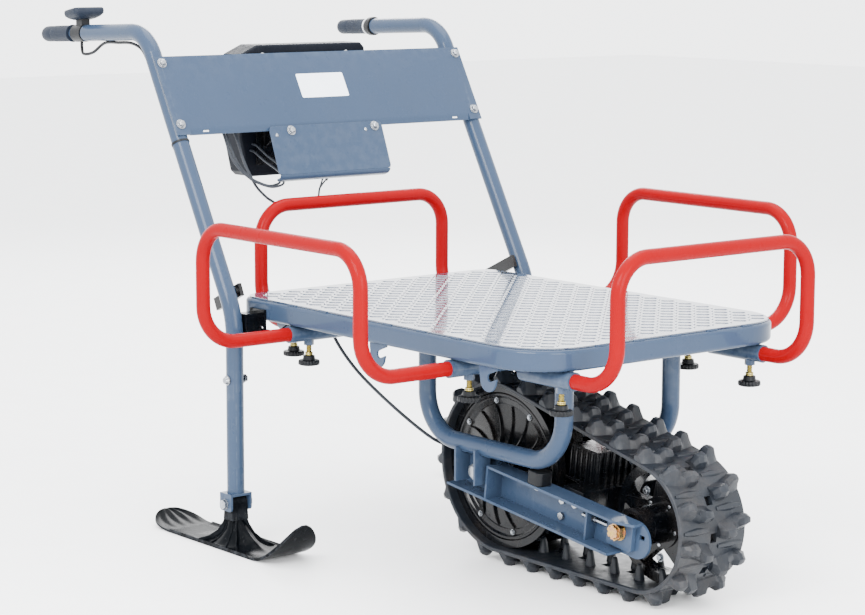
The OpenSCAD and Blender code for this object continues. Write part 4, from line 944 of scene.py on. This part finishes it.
# ---------------------------------------------------------------- cables
def cables():
    py = -POST_Y

    def cable(pts, r, name, mat, m=8, replaced=()):
        return make(name, sweep(spline(pts, m), r, 14), M[mat], ROOT, replaced, 60)
    cable([(-515, py, hz(-515) - 17.1), (-515, py, 892), (-500, py - 5, 880), (-468, py - 3, 884),
           (-430, py, hz(-430) - 20), (-380, py, hz(-380) - 19.6), (-335, py, hz(-335) - 21),
           (-300, py, 896.5), (-279, py, 876), pp(500, 19.6, py), pp(390, 19.2, py),
           pp(300, 19.2, py), pp(200, 19.2, py), pp(100, 19.4, py + 4), pp(40, 22, py + 14),
           (-42, py + 26, 424), (-34, -300, 400), (4, -268, 388), (24, -250, 402),
           (28, -246, 419.9)], 3, "throttle_cable_round", "cable_black", 8, ("throttle_cable",))
    cable([pp(430, -15.8, -252), pp(428, -6, -252), pp(410, 3, -252), pp(360, 5, -249),
           pp(318, 5, -248), pp(289, 5, -237), pp(272, 5, -223), pp(262, 5, -211),
           pp(251, 6, -184), pp(252, 10, -160), pp(262, 18, -138), (-170, -128, 660),
           (-220, -130, 680), (-250, -131, 694), (-264.8, -131, 696)], 2.2, "lead_loop_1",
          "cable_jacket", 8, ("harness",))
    cable([pp(430, -15.8, -240), pp(428, -6, -240), pp(410, 6, -240), pp(360, 11, -238),
           pp(318, 11, -236), pp(292, 11, -228), pp(276, 11, -217), pp(266, 11, -205),
           pp(256, 12, -181), pp(258, 16, -160), pp(268, 24, -140), (-172, -122, 668),
           (-220, -124, 690), (-250, -126, 706), (-264.8, -126, 708)], 2.2, "lead_loop_2",
          "cable_jacket", 8)
    cable([pp(430, -15.8, -228), pp(428, -6, -228), pp(410, 9, -226), pp(360, 18, -213),
           pp(314, 18, -213), pp(279, 18, -208), (-154, -193, 637), (-162, -166, 616),
           (-167, -141, 600), (-169, -152, 586), (-169, -168, 566), (-168, -174, 540),
           (-166, -172, 500), (-165, -170, 460), (-160, -169, 420), (-130, -168, 392),
           (-60, -168, 390), (-14, -168, 402), (2, -168, 426), (12.8, -168, 434)], 2.6,
          "lead_drop", "cable_jacket", 8)
    cv = lambda z, x, y: tuple(COVER @ Vector((x, y, z)))
    cable([cv(-60, -0.2, -52), cv(-74, -8, -52), cv(-95, -20, -50), (-146, -44, 647),
           (-163, -40, 624), (-165, -48, 601), (-166, -100, 596), (-172, -134, 588),
           (-174, -156, 560), (-174, -160, 480), (-168, -157, 420), (-130, -154, 390),
           (-60, -154, 388), (-14, -154, 400), (2, -154, 424), (12.9, -154, 432)], 1.6,
          "lead_thin_1", "cable_jacket", 6)
    cable([cv(-60, -0.2, -40), cv(-74, -8, -40), cv(-95, -22, -38), (-148, -32, 646),
           (-166, -36, 626), (-169, -44, 604), (-170, -100, 600), (-178, -128, 592),
           (-180, -148, 560), (-180, -154, 480), (-173, -151, 420), (-132, -148, 388),
           (-60, -148, 386), (-14, -148, 398), (2, -148, 422), (12.9, -148, 430)], 1.6,
          "lead_thin_2", "cable_jacket", 6)
    cable([(28, -146, 419.9), (27, -147, 404), (27, -148, 372), (60, -127, 316),
           (116, -101, 263), (184, -66, 208), (204, -30, 181), (212, 16, 168), (214, 60, 162),
           (228, 84, 164), (262, 85, 176), (320, 84, 205), (366, 84, 212), (391.9, 84, 191.6),
           (400.3, 84, 183.2)], 3.2, "motor_lead_round", "cable_jacket", 8, ("motor_lead",))


# ---------------------------------------------------------------- rubber stops, idler bolts
STOP_X, STOP_Y = 160, 116


def small_parts():
    for s in (-1, 1):
        out = rounded(STOP_X - 18, STOP_X + 18, s * STOP_Y - 17, s * STOP_Y + 17, 10, 6)
        p = Part().join(prism(out, 24.1, 48.4), ARM)
        make("stop_%s" % ("right" if s < 0 else "left"), p, M["black_plastic"], "track_carrier",
             ("bumpers",), 35, 2.2, 4)
        q = Part().join(hexa(13, 5.5, 1.0), ARM @ T(STOP_X, s * STOP_Y, 13.6))
        make("stop_nut_%s" % ("right" if s < 0 else "left"), q, M["zinc"], "track_carrier", (), 35,
             0.3, 2)
    # bolts on the idler's flanges and spokes
    p = Part()
    for s in (-1, 1):
        mt = T(IX, s * 14.5, IZ) @ RX(s * -90)
        for i in range(5):
            a = math.radians(i * 72 - 18)
            p.join(lathe([(1, 0), (3.6, 0), (3.6, 1.0), (3, 1.6), (1, 1.8)], 20),
                   mt @ T(38 * math.cos(a), 38 * math.sin(a), 0))
            m2 = T(IX, s * 11, IZ) @ RX(s * -90) @ T(60 * math.cos(a), 60 * math.sin(a), 0)
            p.join(lathe([(1, 0), (8, 0), (8, 1.2), (1, 1.3)], 24), m2)
            p.join(hexa(10, 4.6, 1.0), m2 @ T(0, 0, 1.2) @ RZ(i * 13))
    make("idler_bolts", p, M["zinc"], body_of_node("idler"), (), 35, 0.3, 2)


deck_plate()
belt()
wheel_covers()
ski(-1, "right_ski", "right_ski")
ski(1, "left_ski", "left_ski")
knobs()
grips()
display()
battery()
cover_plate()
bolt_heads()
label()
cables()
small_parts()

for node, mat, width in (
        ("panel", "frame_paint", 0.8), ("axle_brackets", "frame_paint", 0.8),
        ("right_arm", "frame_paint", 0.8), ("left_arm", "frame_paint", 0.8),
        ("tension_blocks", "frame_paint", 1.0), ("cross_box", "black_paint", 1.2),
        ("idler", "black_paint", 1.4),
        ("motor", "black_paint", 0.6), ("throttle_clamp", "black_plastic", 1.0),
        ("throttle_lever", "black_plastic", 0.8), ("battery_tray", "black_paint", 0.5),
        ("post_brackets", "black_paint", 0.8), ("side_bars", "black_paint", 0.8),
        ("cross_members", "frame_paint", 1.0), ("hooks", "frame_paint", 0.6),
        ("right_ski_leg", "frame_paint", 0.7), ("left_ski_leg", "frame_paint", 0.7),
        ("tension_rods", "zinc", 0.35), ("leg_bolts", "zinc", 0.4), ("drive_axle", "zinc", 0.5),
        ("idler_axle", "yellow_zinc", 0.5)):
    bevelled(node, M[mat], width)

PLAIN = {
    "right_post": "frame_paint", "left_post": "frame_paint", "deck_frame": "frame_paint",
    "hoop_sockets": "frame_paint", "right_cradle": "frame_paint", "left_cradle": "frame_paint",
    "right_hoop": "hoop_paint", "left_hoop": "hoop_paint", "front_hoop": "hoop_paint",
    "rear_hoop": "hoop_paint", "drive_wheel": "black_paint", "cover_screws": "zinc",
    "cable_ties": "black_plastic",
}
for node, mat in PLAIN.items():
    ob = NODES[node]
    ob.data.materials.clear()
    ob.data.materials.append(M[mat])

# ---------------------------------------------------------------- floor and light
FLOOR_HALF, FLOOR_CELLS, WORLD_STRENGTH = 14, 24, 4.2
material("floor_paint", (0.86, 0.865, 0.87, 1), (0.84, 0.845, 0.85, 1), (0.55, 0.7),
         bumps=((200, 0.00005),), dim=1.0)
steps = [-FLOOR_HALF + 2 * FLOOR_HALF * i / FLOOR_CELLS for i in range(FLOOR_CELLS + 1)]
row = FLOOR_CELLS + 1
floor_mesh = bpy.data.meshes.new("floor")
floor_mesh.from_pydata([(x, y, 0) for x in steps for y in steps], [],
                       [(i * row + j, (i + 1) * row + j, (i + 1) * row + j + 1, i * row + j + 1)
                        for i in range(FLOOR_CELLS) for j in range(FLOOR_CELLS)])
floor = bpy.data.objects.new("floor", floor_mesh)
coll.objects.link(floor)
floor_mesh.materials.append(M["floor_paint"])

world = bpy.data.worlds.new("studio")
bpy.context.scene.world = world
world.use_nodes = True
bg = world.node_tree.nodes["Background"]
bg.inputs[0].default_value = (0.98, 0.99, 1.0, 1)
bg.inputs[1].default_value = WORLD_STRENGTH


def softbox(name, where, target, size, power):
    d = bpy.data.lights.new(name, "AREA")
    d.shape = "RECTANGLE"
    d.size, d.size_y = size
    d.energy = power
    o = bpy.data.objects.new(name, d)
    coll.objects.link(o)
    o.location = where
    o.rotation_euler = (Vector(target) - Vector(where)).to_track_quat("-Z", "Y").to_euler()


softbox("key", (1.6, -3.4, 2.9), (0, 0, 0.4), (2.2, 1.6), 300)
softbox("fill", (3.4, -0.6, 1.3), (0.2, 0, 0.25), (1.8, 1.6), 130)
softbox("top", (-0.2, 0.3, 3.6), (0, 0, 0.4), (2.6, 2.6), 150)
softbox("back", (-3.2, 2.4, 2.4), (0, 0, 0.6), (2.4, 1.6), 120)
